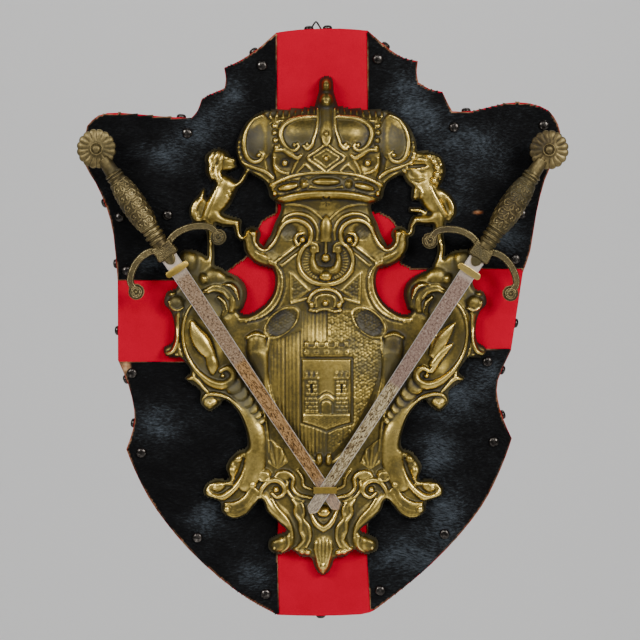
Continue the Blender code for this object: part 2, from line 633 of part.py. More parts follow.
def lower_scroll(field):
    """The foot of the cartouche: leaves, scrolls, ridge work and the drop."""
    field.swell((44, 500), (66, 52), 3)
    field.swell((0, 522), (40, 60), 5)
    # frilled leaf over the hooked scroll
    for place, radius in (((86, 458), 5.4), ((91, 467.5), 5.6), ((90, 476), 4.4)):
        field.dome(place, (radius, radius), 4.4)
    curl(field, [(75, 452, 1.8), (77, 467, 2.0), (82, 480, 2.6), (91, 490, 3.0), (102, 496, 3.2),
                 (111.5, 495, 3.2), (116, 488.5, 2.8), (112, 482.5, 2.4)], 4.4, (108.5, 488), 3.8)
    curl(field, [(65, 495, 2.2), (71, 505, 2.8), (80, 512, 3.0), (90, 515, 3.0), (97.5, 511.5, 2.8)],
         4.0, (96.5, 507.5), 3.4)
    field.stroke([(71, 490, 3.5), (79, 499, 5.0), (89, 504, 4.4)], 4.0, form="soft")
    # small curls over the cross-bar
    for place in ((71, 484), (60, 476), (40, 475)):
        field.dome(place, (5.6, 5.0), 4.4)
    field.dome((46, 455), (9.5, 7), 1.6, form="flat")
    curl(field, [(61, 493, 2.0), (58.5, 484, 2.4), (52, 478, 2.6), (43, 478.5, 2.6), (38, 485.5, 2.4),
                 (40, 493, 2.2), (47, 495.5, 2.0), (52, 491, 1.6)], 4.2, (46.5, 487.5), 3.2)
    field.stroke([(10, 486, 2.4), (23, 483.5, 3.0), (31, 489.5, 2.6), (26, 497, 2.4), (15, 495, 2.0)], 3.8)
    # legs down to the lower volutes
    field.stroke([(52, 498, 6), (45, 510, 7), (36, 521, 7), (29, 533, 6), (27, 545, 5)], 3.4, form="soft")
    field.stroke([(60, 500, 2.4), (54, 511, 2.8), (44, 520.5, 3.0), (35.5, 530, 3.0), (32.5, 541, 2.8),
                  (36, 549, 2.4)], 3.8)
    field.dome((44.5, 544.5), (9.4, 9.4), 6.0)
    # frills inside the legs
    field.stroke([(21, 498, 2.0), (26, 506, 2.4), (20, 514, 2.6), (15.5, 522, 2.6), (20, 531, 2.8),
                  (26, 540, 2.8), (21, 548, 2.8), (13, 553, 2.8)], 4.0)
    # V ridge, boss and fluted drop
    field.stroke([(13, 506.5, 2.0), (9.5, 516, 2.4), (3, 525.5, 3.0), (-3, 528, 3.2)], 4.6)
    field.dome((0, 511), (6.6, 5.6), 6.4)
    field.stroke([(0, 534, 7), (0, 545, 10), (0, 557, 9), (0, 567, 5.5), (0, 572, 3.2)], 6.5, base=6.5)


# The lions, limb by limb: a height, then (place, level, half width) down the limb
LIONS = {
    "left": [
        (9.0, [(214, 160, 9), (220, 159, 10.5), (226, 162, 7)]),
        (7.5, [(226, 161.5, 6), (233, 162, 4.6)]),
        (6.0, [(225, 168, 4), (231, 169.5, 3)]),
        (9.0, [(211, 164, 4.5), (210.5, 171, 5), (213, 178, 4)]),
        (9.5, [(218, 168, 6), (219, 177, 7), (226, 184, 9)]),
        (9.5, [(227, 187, 11.5), (221, 198, 12), (214, 208, 10), (209, 217, 7.5)]),
        (7.5, [(234, 187, 4.5), (241, 182, 3.4), (245.5, 175, 3.0), (248.5, 168, 3.0)]),
        (8.5, [(215, 215, 7.5), (223, 220, 6.5), (233, 222, 5.4), (238, 222, 4.2)]),
        (7.5, [(237.5, 222, 4.2), (238, 230, 3.4), (240, 236.5, 3.2), (247, 240, 3.0)]),
        (8.0, [(210, 218, 7), (211, 229, 4.8), (211, 242, 3.4), (211, 254, 3.6), (211, 268, 3.6)]),
        (7.0, [(205, 221, 3), (197, 219, 4.4), (194, 212, 4.4), (196.5, 204, 4.4), (202, 197, 3.8),
               (204, 190, 2)]),
        (5.0, [(203, 200, 4.5), (200, 213, 5)]),
    ],
    "right": [
        (4.5, [(404, 150, 7), (410, 160, 9), (412, 172, 7.5)]),
        (8.0, [(415, 156, 5.5), (421, 158, 7), (428, 160, 8.5)]),
        (6.5, [(418, 169, 4), (427, 170, 5)]),
        (9.5, [(429, 161, 8.5), (434, 164, 9.5), (436, 172, 9), (434, 180, 8)]),
        (9.5, [(424, 185, 10), (429, 194, 12.5), (435, 205, 10.5), (441, 214, 7.5)]),
        (7.5, [(404, 172, 3.4), (409.5, 180, 4.2), (418, 185, 6)]),
        (7.0, [(417, 189, 5.5), (415, 197, 4.5)]),
        (8.5, [(438, 217, 7.5), (427, 220, 5.6), (416, 219.5, 4.8)]),
        (7.5, [(415, 219.5, 4.6), (411.5, 226, 3.6), (410, 233, 3.4), (400, 237.5, 3.2)]),
        (8.0, [(439, 222, 7), (438.5, 234, 4.8), (441, 246, 3.8), (440, 256, 3.8), (436, 266, 4.2)]),
        (7.0, [(440, 191, 3.5), (448, 199, 4.5), (452, 210, 4.8), (448, 219, 4)]),
        (5.0, [(411, 210, 3), (419, 210.5, 3.4), (426, 213, 1.8)]),
    ],
}


def arms_lion(field, side):
    """A standing lion, cast with the sheet beside the crown; its feet run into the scrolls."""
    for height, limb in LIONS[side]:
        field.stroke(limb, height, base=2.5, blend=3.0)


def coat_of_arms(material):
    """The stamped brass sheet, closed behind."""
    field = Relief(150, 70, 502, 590, ARMS_PITCH)
    field.fold(AXIS - AXIS_LEAN * np.clip(field.y - LEAN_FROM, 0.0, None))
    field.region(ARMS_OUTLINE)
    for section in (crown, neck, upper_panel, shield, side_scroll, lower_scroll):
        section(field)
    field.unfold()
    for side in LIONS:
        arms_lion(field, side)
    field.soften(ARMS_PITCH)
    mesh = relief_mesh("coat_of_arms", field, ARMS_WALL, ARMS_TURN)
    item = stand_up(add_object("coat_of_arms", mesh, material), ARMS_BACK)
    fewer = item.modifiers.new("Fewer faces", "DECIMATE")
    fewer.ratio = ARMS_TRIANGLES / (2 * len(mesh.polygons))
    return field


def front_depth(field, place, reach):
    """Depth of whatever lies foremost within reach of a place: the stamped sheet, or the hide."""
    close = np.hypot(field.x - place[0], field.y - place[1]) < reach + field.pitch
    close &= field.inside > -field.pitch
    if not close.any():
        return HIDE_FRONT + GAP
    return ARMS_BACK + max(ARMS_WALL, (field.body + field.carving)[close].max()) + 2 * GAP


def board(material):
    """The wooden shield with a recess for the hanger in its back."""
    item = sheet_plate("board", OUTLINE, 0.0, BOARD_DEPTH, material)
    width, height, depth = POCKET
    cutter = add_object("cut_pocket", box_mesh("cut_pocket", (width, depth * 2, height * 2)), None, CUTTERS)
    cutter.location = (0.0, 0.0, (HANGER[1] - POCKET_LEVEL) * MM)
    boolean(item, as_cutter(cutter), "DIFFERENCE")
    return cutter


def felt(material, pocket):
    """Red felt over the front, turned down over the edges."""
    item = sheet_plate("red_felt", offset_outline(OUTLINE, GAP + FELT_THICK), FELT_BACK, FELT_FRONT, material)
    cutter = sheet_plate("cut_felt", offset_outline(OUTLINE, GAP), -5.0, BOARD_DEPTH + GAP, None, CUTTERS)
    boolean(item, as_cutter(cutter), "DIFFERENCE")
    boolean(item, pocket, "DIFFERENCE")


def hides(material):
    for name, (runs, first, second) in HIDES.items():
        outer = offset_run(chain(runs), GAP + FELT_THICK - HIDE_INSET)
        inner = chain([first], 1) + chain([second], 2)
        sheet_plate(name, outer + inner, HIDE_BACK, HIDE_FRONT, material)


def offset_run(points, distance):
    """A stretch of the board's outline moved outwards with the whole outline."""
    whole = offset_outline(OUTLINE, distance)
    lookup = {(round(x, 3), round(y, 3)): spot for (x, y), spot in zip(OUTLINE, whole)}
    return [lookup[(round(x, 3), round(y, 3))] for x, y in points]


def tack_mesh(name, radius, rise):
    """A domed head with a flat back, standing on the XY plane."""
    shell = bmesh.new()
    bmesh.ops.create_cone(shell, cap_ends=True, segments=TACK_SIDES, radius1=radius * MM,
                          radius2=radius * 0.45 * MM, depth=rise * MM)
    bmesh.ops.translate(shell, vec=(0, 0, rise / 2 * MM), verts=shell.verts)
    mesh = bpy.data.meshes.new(name)
    shell.to_mesh(mesh)
    shell.free()
    return mesh


def tacks(material):
    """Face tacks on the hides, edge tacks pointing out of the felt's turned edge."""
    face = tack_mesh("face_tack", TACK_RADIUS, TACK_RISE)
    for number, (x, y) in enumerate(FACE_TACKS, 1):
        item = add_object(f"face_tack_{number:02d}", face, material)
        stand_up(item, HIDE_FRONT + GAP)
        item.location.x, item.location.z = (x - HANGER[0]) * MM, (HANGER[1] - y) * MM
    edge = tack_mesh("edge_tack", EDGE_TACK_RADIUS, EDGE_TACK_RISE)
    skin = offset_outline(OUTLINE, GAP + FELT_THICK)
    for number, place in enumerate(EDGE_TACKS, 1):
        foot, out = nearest_edge(skin, place)
        item = add_object(f"edge_tack_{number:02d}", edge, material)
        item.rotation_mode = "QUATERNION"
        item.rotation_quaternion = Vector((out[0], 0.0, -out[1])).to_track_quat("Z", "Y")
        spot = (foot[0] + out[0] * GAP, foot[1] + out[1] * GAP)
        item.location = ((spot[0] - HANGER[0]) * MM, -BOARD_DEPTH / 2 * MM, (HANGER[1] - spot[1]) * MM)


def nearest_edge(outline, place):
    """Foot on a closed outline of the shortest way from a place, and the direction outwards."""
    best = None
    for a, b in zip(outline, outline[1:] + outline[:1]):
        ex, ey = b[0] - a[0], b[1] - a[1]
        length = math.hypot(ex, ey)
        reach = EDGE_TACK_RADIUS / length
        if length < 2 * EDGE_TACK_RADIUS:
            reach = 0.5
        t = min(max(((place[0] - a[0]) * ex + (place[1] - a[1]) * ey) / length ** 2, reach), 1 - reach)
        foot = (a[0] + t * ex, a[1] + t * ey)
        away = math.dist(foot, place)
        if best is None or away < best[0]:
            best = (away, foot, (-ey / length * TURN, ex / length * TURN))
    return best[1], best[2]


def hanger(material):
    """Triangular wire loop, the strip that holds it, and two small nails."""
    half, drop = LOOP_HALF, LOOP_DROP
    curve = bpy.data.curves.new("hanger_loop", "CURVE")
    curve.dimensions = "3D"
    curve.bevel_depth = LOOP_WIRE * MM
    curve.bevel_resolution = 2
    points = [(0, 1.0), (1.6, -0.6), (half, -drop + 2), (half - 1.5, -drop), (-half + 1.5, -drop),
              (-half, -drop + 2), (-1.6, -0.6)]
    spline = curve.splines.new("POLY")
    spline.points.add(len(points) - 1)
    for spot, (x, z) in zip(spline.points, points):
        spot.co = (x * MM, -LOOP_DEPTH * MM, z * MM, 1.0)
    spline.use_cyclic_u = True
    PARTS.objects.link(bpy.data.objects.new("hanger_loop", curve))
    curve.materials.append(material)
    # the strip: a flat tongue with a rolled knuckle round the loop's lower side
    floor = POCKET[2] - GAP
    width, thick, long = STRIP
    middle = -drop - long / 2 - 1.0
    plate = add_object("hanger_plate", box_mesh("hanger_plate", (width, thick, long)), material)
    plate.location = (0.0, -(floor - thick / 2) * MM, middle * MM)
    bore = LOOP_WIRE + GAP
    section = [(-KNUCKLE_HALF, bore), (KNUCKLE_HALF, bore),
               (KNUCKLE_HALF, KNUCKLE_RADIUS), (-KNUCKLE_HALF, KNUCKLE_RADIUS)]
    knuckle = turned_mesh("knuckle", section, 12)
    joined = as_cutter(add_object("join_knuckle", knuckle, None, CUTTERS))
    joined.location = (0.0, -LOOP_DEPTH * MM, -drop * MM)
    boolean(plate, joined, "UNION")
    for number, z in enumerate((middle, middle - 4.5), 1):
        nail = tack_mesh(f"hanger_nail_{number}", 1.6, 1.2)
        item = add_object(f"hanger_nail_{number}", nail, material)
        item.rotation_euler = (-math.pi / 2, 0.0, 0.0)
        item.location = (0.0, -(floor - thick - GAP) * MM, z * MM)


def sword_frame(name, pommel, pommel_depth, crossing_depth):
    """An empty at the pommel's centre: X runs down the blade, Z faces the viewer."""
    start = Vector((pommel[0] - HANGER[0], -pommel_depth, HANGER[1] - pommel[1]))
    finish = Vector((CROSSING[0] - HANGER[0], -crossing_depth, HANGER[1] - CROSSING[1]))
    along = (finish - start).normalized()
    outward = (Vector((0, -1, 0)) - Vector((0, -1, 0)).dot(along) * along).normalized()
    across = outward.cross(along)
    frame = bpy.data.objects.new(f"sword_{name}_frame", None)
    GUIDES.objects.link(frame)
    turn = Matrix((along, across, outward)).transposed().to_4x4()
    frame.matrix_world = Matrix.Translation(start * MM) @ turn
    return frame


def follow(item, frame):
    item.parent = frame
    return item


def pommel_mesh(name):
    """The fluted shell of the pommel: a turned disc with its rim drawn in between the flutes."""
    profile = [(-3.6, 0), (-2.4, POMMEL_RADIUS), (2.4, POMMEL_RADIUS), (4.0, POMMEL_RADIUS * 0.3), (4.2, 0)]
    mesh = turned_mesh(name, profile, POMMEL_FLUTES * 2)
    mesh.transform(Matrix.Rotation(-math.pi / 2, 4, "Y"))
    for spot in mesh.vertices:
        rim = math.hypot(spot.co.x, spot.co.y) > POMMEL_RADIUS * 0.9 * MM
        step = round(math.atan2(spot.co.y, spot.co.x) * POMMEL_FLUTES / math.pi)
        if rim and step % 2:
            spot.co.x *= FLUTE_DEPTH
            spot.co.y *= FLUTE_DEPTH
    return mesh


def guard_arm(name, reach):
    """One curved arm of the guard, whose end lies at the reach given, on that side of the blade."""
    stretch = reach / ARM_SPINE[-1][1]
    spine = smooth_path(ARM_SPINE, 2)
    ahead = np.gradient(spine, axis=0)
    ahead /= np.linalg.norm(ahead, axis=1)[:, None]
    aside = np.stack([-ahead[:, 1], ahead[:, 0]], axis=1) * ARM_HALF
    outline = np.vstack([spine + aside, (spine - aside)[::-1]])
    outline[:, 1] *= stretch
    return plate_mesh(name, [tuple(row) for row in outline], ARM_THICK)


def disc_mesh(name, radius, thick, centre, sides=12):
    shell = bmesh.new()
    bmesh.ops.create_cone(shell, cap_ends=True, segments=sides, radius1=radius * MM, radius2=radius * MM,
                          depth=thick * MM)
    bmesh.ops.translate(shell, vec=[value * MM for value in centre], verts=shell.verts)
    mesh = bpy.data.meshes.new(name)
    shell.to_mesh(mesh)
    shell.free()
    return mesh


GRIP = [
    (12, 0), (12, 6.5), (26, 7.2), (29, 9), (34, 9), (37, 8.6), (50, 11.6), (65, 12.6), (80, 12), (94, 9.4),
    (98, 8.2), (100, 9.6), (104, 9.6), (106, 8), (110, 8.4), (116, 8.4), (116, 0),
]


def sword(name, places, field, bronze, steel, brass):
    """One sword: the cast hilt, the blade and the collar that pins it to the board."""
    frame = sword_frame(name, **places)
    hilt = follow(add_object(f"hilt_{name}", turned_mesh("grip", GRIP, 12), bronze), frame)
    extras = [pommel_mesh("pommel"), disc_mesh("button", 4.6, 4.0, (0, 0, 5.2), 8)]
    extras.append(box_mesh("block", (BLOCK_END - BLOCK_START, *BLOCK), ((BLOCK_START + BLOCK_END) / 2, 0, 0)))
    extras.append(box_mesh("langet", (LANGET_END - BLOCK_END + 2, *LANGET),
                           ((LANGET_END + BLOCK_END) / 2 - 1, 0, BLADE_THICK / 2 + GAP + LANGET[1] / 2)))
    for number, reach in enumerate(DISC_PLACES[name]):
        extras.append(guard_arm(f"arm_{number}", reach))
        extras.append(disc_mesh(f"disc_{number}", *DISC, (ARM_SPINE[-1][0], reach, 0)))
    for mesh in extras:
        joined = as_cutter(follow(add_object(f"join_{name}_{mesh.name}", mesh, None, CUTTERS), frame))
        boolean(hilt, joined, "UNION")
    start = BLOCK_END + GAP
    outline = [(start, -BLADE_HALF_START), (BLADE_TIP - 5, -BLADE_HALF_TIP), (BLADE_TIP, 0.0),
               (BLADE_TIP - 5, BLADE_HALF_TIP), (start, BLADE_HALF_START)]
    strip = plate_mesh(f"blade_{name}", outline, BLADE_THICK)
    blade = follow(add_object(f"blade_{name}", strip, steel), frame)
    edge = blade.modifiers.new("Ground edge", "BEVEL")
    edge.width = 0.9 * MM
    edge.segments = 1
    collar(name, frame, places, field, brass)


def collar(name, frame, places, field, material):
    """A staple across the blade: a bar in front and a leg on either side, down to what lies below."""
    front = BLADE_THICK / 2 + GAP
    half = BLADE_HALF_START + GAP
    bar = disc_mesh("bar", 3.6, 2.4, (COLLAR_AT, 0, front + 1.2), 12)
    for spot in bar.vertices:
        spot.co.y += math.copysign(9.2 * MM, spot.co.y) if abs(spot.co.y) > 1e-6 else 0.0
    item = follow(add_object(f"collar_{name}", bar, material), frame)
    depth = places["pommel_depth"] + (places["crossing_depth"] - places["pommel_depth"]) * COLLAR_AT / 407
    for number, side in enumerate((-1, 1)):
        foot = frame.matrix_world @ (Vector((COLLAR_AT, side * (half + 1.1), 0.0)) * MM)
        floor = front_depth(field, (foot.x / MM + HANGER[0], HANGER[1] - foot.z / MM), 2.4)
        long = depth - floor - GAP + front + 0.5
        leg = box_mesh(f"leg_{number}", (3.4, 2.2, long),
                       (COLLAR_AT, side * (half + 1.1), front + 0.5 - long / 2))
        joined = as_cutter(follow(add_object(f"join_{name}_{leg.name}", leg, None, CUTTERS), frame))
        boolean(item, joined, "UNION")


def crossing_staple(field, material):
    """A small staple over the crossed blades."""
    deepest = SWORDS["right"]["crossing_depth"] + BLADE_THICK / 2
    front = deepest + GAP + 0.5
    item = add_object("crossing_staple", box_mesh("crossing_staple", (23.0, 2.0, 6.6)), material)
    item.location = ((CROSSING[0] - HANGER[0]) * MM, -(front + 1.0) * MM, (HANGER[1] - CROSSING[1]) * MM)
    for number, side in enumerate((-1, 1)):
        long = front - front_depth(field, (CROSSING[0] + side * 10.7, CROSSING[1]), 3.4)
        leg = box_mesh(f"staple_leg_{number}", (1.6, long + 1.0, 6.6),
                       (side * 10.7, long / 2 + 0.5, 0.0))
        joined = add_object(f"join_{leg.name}", leg, None, CUTTERS)
        joined.location = item.location
        boolean(item, as_cutter(joined), "UNION")


reset_scene()
PARTS = new_collection("wooden_heraldic_shield_plaque")
CUTTERS = new_collection("cutters")
GUIDES = new_collection("guides")
OUTLINE = chain([TOP, *LEFT_UPPER, LEFT_BAND, *LEFT_LOWER, BOTTOM, *RIGHT_LOWER, RIGHT_BAND, *RIGHT_UPPER])
if math.dist(OUTLINE[0], OUTLINE[-1]) < 0.5:
    OUTLINE.pop()
TURN = 1.0 if sum(a[0] * b[1] - b[0] * a[1] for a, b in zip(OUTLINE, OUTLINE[1:] + OUTLINE[:1])) < 0 else -1.0


def build():
    wood = principled("beech_board", (0.33, 0.20, 0.10), 0.6)
    red = principled("red_felt", (0.55, 0.02, 0.03), 0.95)
    hide = principled("black_hide", (0.012, 0.013, 0.016), 0.5)
    brass = principled("antique_brass", (0.42, 0.30, 0.10), 0.35, 1.0)
    bronze = principled("cast_bronze", (0.20, 0.16, 0.09), 0.5, 1.0)
    steel = principled("etched_steel", (0.45, 0.36, 0.32), 0.4, 1.0)
    iron = principled("blackened_iron", (0.03, 0.025, 0.02), 0.4, 1.0)
    pocket = board(wood)
    felt(red, pocket)
    hides(hide)
    field = coat_of_arms(brass)
    tacks(iron)
    hanger(iron)
    for name, places in SWORDS.items():
        sword(name, places, field, bronze, steel, brass)
    crossing_staple(field, brass)


build()
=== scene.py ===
"""Looks of the wooden heraldic shield plaque.

The plaque hangs upright: its back lies in the plane Y = 0, its face looks along -Y and Z is up.
Flat shapes are drawn on a full-size sheet in millimetres, x to the right and y down, and HANGER is
the sheet's point that lies at the model's origin.
"""
import math

import bmesh
import bpy
import numpy as np
from mathutils import Matrix, Vector, kdtree


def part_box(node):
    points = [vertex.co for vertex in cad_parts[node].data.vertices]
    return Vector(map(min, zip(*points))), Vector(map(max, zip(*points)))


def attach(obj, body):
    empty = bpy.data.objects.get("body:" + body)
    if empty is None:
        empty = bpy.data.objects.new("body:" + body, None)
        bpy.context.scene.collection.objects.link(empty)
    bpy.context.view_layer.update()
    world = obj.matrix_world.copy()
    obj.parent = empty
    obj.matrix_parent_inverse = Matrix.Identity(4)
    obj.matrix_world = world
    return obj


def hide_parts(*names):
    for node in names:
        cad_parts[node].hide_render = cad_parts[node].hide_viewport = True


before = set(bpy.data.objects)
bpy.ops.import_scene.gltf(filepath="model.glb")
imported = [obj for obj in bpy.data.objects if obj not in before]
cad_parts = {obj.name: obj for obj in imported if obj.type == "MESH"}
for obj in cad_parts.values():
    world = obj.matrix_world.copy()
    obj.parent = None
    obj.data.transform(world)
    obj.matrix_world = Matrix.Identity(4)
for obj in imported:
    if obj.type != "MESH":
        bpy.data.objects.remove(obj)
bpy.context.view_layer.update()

MM = 0.001
HANGER = (316.0, 23.0)

# Depths from the wall, read from the solids
FELT_FRONT = -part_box("red_felt")[0].y / MM
HIDE_FRONT = -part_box("hide_upper_left")[0].y / MM
ARMS_BACK = -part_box("coat_of_arms")[1].y / MM

# The stamped coat of arms
AXIS = 326.2                    # centre line at the crown
AXIS_LEAN = 0.0085              # the centre line drifts left by this much per millimetre down
LEAN_FROM = 200.0
GROUND = 6.5                    # height of the plain ground between the raised forms
WALL = 1.4                      # upright edge of the stamped sheet
TURN = 5.5                      # width over which the stamping turns down to its edge
PITCH = 1.0                     # spacing of the grid that the sheet's relief is worked out on
ARMS_OUTLINE = [
    (-6, 107), (12, 107), (26, 109), (46, 110), (62, 111.5), (73, 117), (81, 125), (87, 136), (90, 147),
    (88, 160), (82, 169), (72, 176), (62, 182), (58, 190), (56, 198), (49, 203), (45, 205), (46, 213),
    (51, 223), (55, 234), (60, 243), (64, 253), (62, 261), (55, 266), (50.5, 276), (51.5, 290), (57.5, 301),
    (66.5, 309), (77.5, 314), (86, 311), (82, 301), (80.5, 290), (84.5, 280), (94, 273), (108, 267),
    (122, 254), (134, 249.5), (146, 254), (151, 265), (147, 279), (149, 288), (158, 292), (161, 303),
    (154, 312), (150.5, 326), (152, 341), (161, 348), (158, 356), (145, 357), (138, 364), (134, 372),
    (140, 378), (133, 384), (124, 391), (124, 403), (115, 411), (105, 405), (99, 400), (88, 410), (80, 426),
    (77, 446), (88, 452), (98, 466), (95, 479), (108, 479), (119, 486), (119, 496), (104, 502), (102, 512),
    (90, 519), (76, 514), (63, 500), (57, 512), (46, 522), (37, 531), (43, 534), (54, 540), (54, 551),
    (43, 555), (31, 551), (23, 557), (12, 559), (9, 567), (4, 574), (-6, 576),
]

# The hides
HIDE_GAP = 0.3                  # the back of a hide lies this far before the felt's face
HIDE_OVERHANG = 0.4             # the hair stands out past the cut edge by this much
HIDE_WALL = 0.8                 # upright cut edge below the hair

# Swords: places of the pommels and of the crossing on the sheet, and their depths
CROSSING = (325.0, 488.0)
SWORDS = {
    "left": dict(pommel=(99.5, 149.5), pommel_depth=45.0, crossing_depth=38.2, discs=(51.5, -46.2)),
    "right": dict(pommel=(545.5, 150.5), pommel_depth=48.5, crossing_depth=41.9, discs=(46.4, -48.8)),
}


def linear(code, alpha=1.0):
    """An sRGB hex colour as linear red, green, blue and alpha."""
    values = [int(code[i:i + 2], 16) / 255 for i in (1, 3, 5)]
    return (*[v / 12.92 if v <= 0.04045 else ((v + 0.055) / 1.055) ** 2.4 for v in values], alpha)


def node(tree, kind, settings=None, links=None, **attributes):
    """Add a node: attributes, values of its inputs, and links from other nodes' outputs."""
    made = tree.nodes.new(kind)
    for name, value in attributes.items():
        setattr(made, name, value)
    for name, value in (settings or {}).items():
        made.inputs[name].default_value = value
    for name, source in (links or {}).items():
        tree.links.new(source, made.inputs[name])
    return made


def new_material(name):
    """A material with its node tree and its shader."""
    material = bpy.data.materials.new(name)
    material.use_nodes = True
    tree = material.node_tree
    return material, tree, tree.nodes["Principled BSDF"]


def ramp(tree, factor, stops):
    """A colour ramp from (position, hex colour) stops."""
    made = node(tree, "ShaderNodeValToRGB", links={"Fac": factor})
    elements = made.color_ramp.elements
    while len(elements) > 1:
        elements.remove(elements[-1])
    elements[0].position, elements[0].color = stops[0][0], linear(stops[0][1])
    for position, colour in stops[1:]:
        elements.new(position).color = linear(colour)
    return made.outputs["Color"]


def smooth_path(points, parts):
    """Catmull-Rom curve through rows of numbers, each span cut into equal parts."""
    rows = np.asarray(points, dtype=float)
    padded = np.vstack([2 * rows[0] - rows[1], rows, 2 * rows[-1] - rows[-2]])
    out = []
    for a, b, c, d in zip(padded, padded[1:], padded[2:], padded[3:]):
        for t in np.arange(parts) / parts:
            out.append(0.5 * (2 * b + (c - a) * t + (2 * a - 5 * b + 4 * c - d) * t ** 2
                              + (3 * b - a - 3 * c + d) * t ** 3))
    out.append(rows[-1])
    return np.array(out)


def add_piece(name, shell, material, solid, smooth=True):
    """Turn a bmesh into a finished piece on the body, in place of its solid."""
    mesh = bpy.data.meshes.new(name)
    shell.to_mesh(mesh)
    shell.free()
    item = bpy.data.objects.new(name, mesh)
    bpy.context.scene.collection.objects.link(item)
    mesh.materials.append(material)
    if smooth:
        mesh.shade_smooth()
    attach(item, "root")
    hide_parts(solid)
    return item


def solid_copy(name):
    """A merged copy of a solid's mesh, with its coplanar triangles joined."""
    shell = bmesh.new()
    shell.from_mesh(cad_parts[name].data)
    bmesh.ops.remove_doubles(shell, verts=shell.verts, dist=0.00002)
    bmesh.ops.dissolve_limit(shell, angle_limit=math.radians(0.5), verts=shell.verts, edges=shell.edges)
    return shell


# Materials. A noise scale is one over the size, in metres, of what it draws. The sockets of a Mix node go
# by number: 0 is the share, 2 and 3 are mixed numbers, 6 and 7 mixed colours, and output 2 is the colour.

def aged_brass(name, tone, rubbed, patina, dull=0.0):
    """Brass or bronze, patinated dark and rubbed back: gold on the ridges, brown-black in the hollows.

    It serves the stamped sheet, the drawn strip of the staples and the cast hilts. tone runs from the
    hollows to the ridges, rubbed is the ridges' roughness, patina the strength of the green film, and
    dull is added to the roughness all over.
    """
    material, tree, shader = new_material(name)
    place = node(tree, "ShaderNodeTexCoord").outputs["Object"]
    # the relief mark holds wear and patina, and on the stamped sheet also painted shade and painted
    # highlight
    wear_and_shade = node(tree, "ShaderNodeAttribute", attribute_name="relief").outputs["Fac"]
    # blotches of 30 mm and specks of 3 mm shift how far the rubbing went
    for scale, detail, reach in ((33.0, 4.0, 0.62), (320.0, 3.0, 0.26)):
        spots = node(tree, "ShaderNodeTexNoise", {"Scale": scale, "Detail": detail}, {"Vector": place})
        shift = node(tree, "ShaderNodeMath", {1: reach, 2: -reach / 2}, {0: spots.outputs["Fac"]},
                     operation="MULTIPLY_ADD")
        wear_and_shade = node(tree, "ShaderNodeMath", links={0: wear_and_shade, 1: shift.outputs[0]},
                    operation="ADD").outputs[0]
    metal = ramp(tree, wear_and_shade, list(zip((0.22, 0.42, 0.58, 0.80), tone)))
    # grey-green verdigris film in the lower places, in patches of 70 mm
    film = node(tree, "ShaderNodeTexNoise", {"Scale": 14.0, "Detail": 3.0, "Roughness": 0.6},
                {"Vector": place})
    film = node(tree, "ShaderNodeMapRange", {"From Min": 0.44, "From Max": 0.62, "To Max": patina},
                {"Value": film.outputs["Fac"]})
    low = node(tree, "ShaderNodeMapRange", {"From Min": 0.62, "From Max": 0.40}, {"Value": wear_and_shade})
    share = node(tree, "ShaderNodeMath", links={0: film.outputs[0], 1: low.outputs[0]},
                 operation="MULTIPLY")
    colour = node(tree, "ShaderNodeMix", {7: linear("#5A5336")}, {0: share.outputs[0], 6: metal},
                  data_type="RGBA")
    tree.links.new(colour.outputs[2], shader.inputs["Base Color"])
    # the patina in the hollows is an oxide crust, no longer metal
    bright = node(tree, "ShaderNodeMapRange", {"From Min": 0.18, "From Max": 0.42, "To Min": 0.15},
                  {"Value": wear_and_shade})
    tree.links.new(bright.outputs[0], shader.inputs["Metallic"])
    rough = node(tree, "ShaderNodeMapRange",
                 {"From Min": 0.25, "From Max": 0.75, "To Min": 0.55 + dull, "To Max": rubbed + dull},
                 {"Value": wear_and_shade})
    tree.links.new(rough.outputs[0], shader.inputs["Roughness"])
    # the hand-worked skin of the metal: shallow dimples of about 2 mm
    skin = node(tree, "ShaderNodeTexNoise", {"Scale": 480.0, "Detail": 2.0}, {"Vector": place})
    bump = node(tree, "ShaderNodeBump", {"Strength": 0.22, "Distance": 0.0006},
                {"Height": skin.outputs["Fac"]})
    tree.links.new(bump.outputs[0], shader.inputs["Normal"])
    return material


def red_felt():
    """Pressed wool felt: matt, faintly mottled, with the grain of its matted fibres."""
    material, tree, shader = new_material("pressed_wool_felt")
    place = node(tree, "ShaderNodeTexCoord").outputs["Object"]
    mottle = node(tree, "ShaderNodeTexNoise", {"Scale": 26.0, "Detail": 5.0, "Roughness": 0.65},
                  {"Vector": place})
    # matted fibres about 0.8 mm across, drawn a little coarse so that they show
    fibre = node(tree, "ShaderNodeTexNoise",
                 {"Scale": 1250.0, "Detail": 4.0, "Roughness": 0.7, "Distortion": 1.5}, {"Vector": place})
    both = node(tree, "ShaderNodeMix", {0: 0.6}, {2: mottle.outputs["Fac"], 3: fibre.outputs["Fac"]})
    red = ramp(tree, both.outputs[0], [(0.25, "#98021C"), (0.5, "#AE0325"), (0.75, "#BC072C")])
    tree.links.new(red, shader.inputs["Base Color"])
    shader.inputs["Roughness"].default_value = 1.0
    shader.inputs["Specular IOR Level"].default_value = 0.02
    bump = node(tree, "ShaderNodeBump", {"Strength": 0.5, "Distance": 0.0005},
                {"Height": fibre.outputs["Fac"]})
    tree.links.new(bump.outputs[0], shader.inputs["Normal"])
    return material


